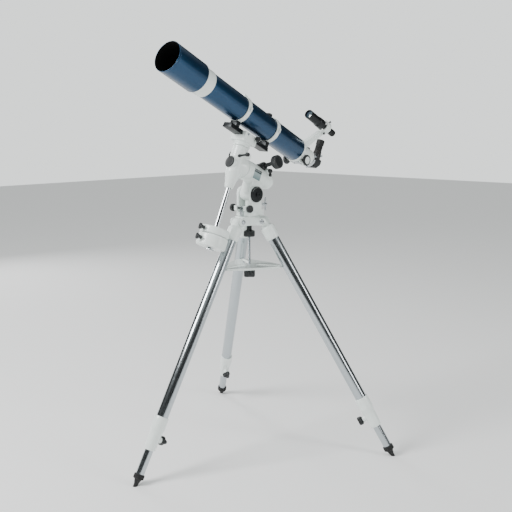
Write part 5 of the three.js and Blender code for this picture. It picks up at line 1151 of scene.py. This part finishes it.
spun(clamp, [(0, 22.4), (4.4, 22.4), (5, 23), (5, 28), (4.2, 29), (0, 29)], "x", (EYEPIECE_Y, AXIS + 36),
     60, knurl(15, 0.06), ease=0.4)
piece("eyepiece_clamp_screw", clamp, tube, "star_diagonal", [], ZINC)

barrel_tube = spun(bmesh.new(), [(0, AXIS + 22), (15.2, AXIS + 22), (15.9, AXIS + 23), (15.9, AXIS + 42.3),
                                 (0, AXIS + 42.3)], "z", (0, EYEPIECE_Y), 96, ease=0.4)
piece("eyepiece_barrel", barrel_tube, tube, "star_diagonal", [], CHROME)
grip = [(0, 42.3), (17.5, 42.3), (17.5, 55), (15.4, 60)]
for rib in range(7):
    ring = 61 + rib * 3
    grip += [(15.0, ring), (16.1, ring + 0.5), (16.1, ring + 1.9), (15.0, ring + 2.4)]
grip += [(15, 83), (17.5, 88), (17.5, 107), (16.8, 108), (14.5, 108), (12.5, 101), (0, 101)]
ocular = spun(bmesh.new(), [(r, AXIS + s) for r, s in grip], "z", (0, EYEPIECE_Y), 96, ease=0.6)
piece("eyepiece_rubber_grip", ocular, tube, "star_diagonal", ["eyepiece"], RUBBER)
eye_dome = [(9 * i / 8, AXIS + 102.6 - 1.4 * (i / 8) ** 2) for i in range(9)]
eye_lens = spun(bmesh.new(), eye_dome + [(9, AXIS + 100), (0, AXIS + 100)], "z", (0, EYEPIECE_Y), 64, ease=0)
piece("eyepiece_lens", eye_lens, tube, "star_diagonal", [], GLASS)


# ------------------------------------------------------------------ finder and its bracket
# A small black-anodised guide telescope in a white ring stand, aimed with three black plastic screws.
FINDER_X, FINDER_RISE = 45, 146
FINDER_Z = AXIS + FINDER_RISE
ring_low, ring_high = 409, 441
spot = (FINDER_X, FINDER_Z)
guide = spun(bmesh.new(), [(0, 308), (16, 308), (17, 292), (18.4, 292), (19, 293), (19, 300), (18.6, 301),
                           (18.6, 302.4), (19, 303.4), (19, 364), (21.5, 368), (21.5, 400), (16, 408.4),
                           (11.5, 412.5), (11.5, 460), (14, 462), (14, 474), (13, 475), (13, 477),
                           (14, 478), (14, 498.6), (12.6, 500), (8.6, 500), (7.6, 494), (0, 494)], "y",
             spot, 120, ease=1.2)
piece("guide_telescope", guide, tube, "dec", ["finder"], ANODISED)
guide_lens = spun(bmesh.new(), domed(16.2, 300.4, 2, 12) + [(16.2, 305), (0, 305)], "y", spot, 96, ease=0)
piece("guide_telescope_lens", guide_lens, tube, "dec", [], GLASS)
ribs = bmesh.new()
for place in range(6):
    start = 479.6 + place * 3
    spun(ribs, [(13.6, start), (14.4, start + 0.3), (14.4, start + 1.5), (13.6, start + 1.8)], "y", spot,
         80, closed=True, ease=0.2)
piece("guide_eyepiece_grip", ribs, tube, "dec", [], RUBBER)

stand_shape = bmesh.new()
reach = Vector((FINDER_X, FINDER_RISE)).length
lean = degrees(atan2(FINDER_X, FINDER_RISE))
foot_low, foot_high = 341, 386
outline = eased([(foot_low + 3, 33), (foot_high, 33), (foot_high + 12, 60), (ring_high, reach - 24),
                 (ring_low, reach - 24), (foot_low + 30, 70)], 12, closed=True)
prism(stand_shape, outline, -8, 8, "yz", ease=1.6, segments=3)
turned_about(stand_shape, lean, "Y")
shifted(stand_shape, (0, 0, AXIS))
stand_shape = machined(stand_shape, rod(bmesh.new(), "y", 37.8, 300, 480, (0, AXIS), 144))
cone = spun(bmesh.new(), [(0, 320), (51.4, 320), (51.4, flange + 14.3), (48.3, flange + 15),
                          (41.4, flange + 27.6), (38, flange + 38.4), (0, flange + 38.4)], "y", (0, AXIS),
            144, ease=0)
stand_shape = machined(stand_shape, cone)
stand_shape = machined(stand_shape, rod(bmesh.new(), "y", 22.4, 380, 470, spot, 96))
spun(stand_shape, [(22, ring_low), (26, ring_low), (27, ring_low + 1), (27, ring_high - 1), (26, ring_high),
                   (22, ring_high)], "y", spot, 120, closed=True, ease=0.6)
piece("guide_ring_stand", stand_shape, tube, "dec", ["finder_bracket"], ENAMEL)
aiming = (0, (ring_low + ring_high) / 2)
for angle in (45, 165, 285):
    screw = rod(bmesh.new(), "z", 2.6, 11.9, 33, aiming, steps=24)
    spun(screw, [(0, 30.5), (4.2, 30.5), (4.5, 31.2), (4.5, 35.4), (4, 36), (0, 36)], "z", aiming, 60,
         knurl(15, 0.06), ease=0.4)
    turned_about(screw, angle, "Y")
    shifted(screw, (FINDER_X, 0, FINDER_Z))
    piece(f"guide_aiming_screw_{angle}", screw, tube, "dec", [], ABS)
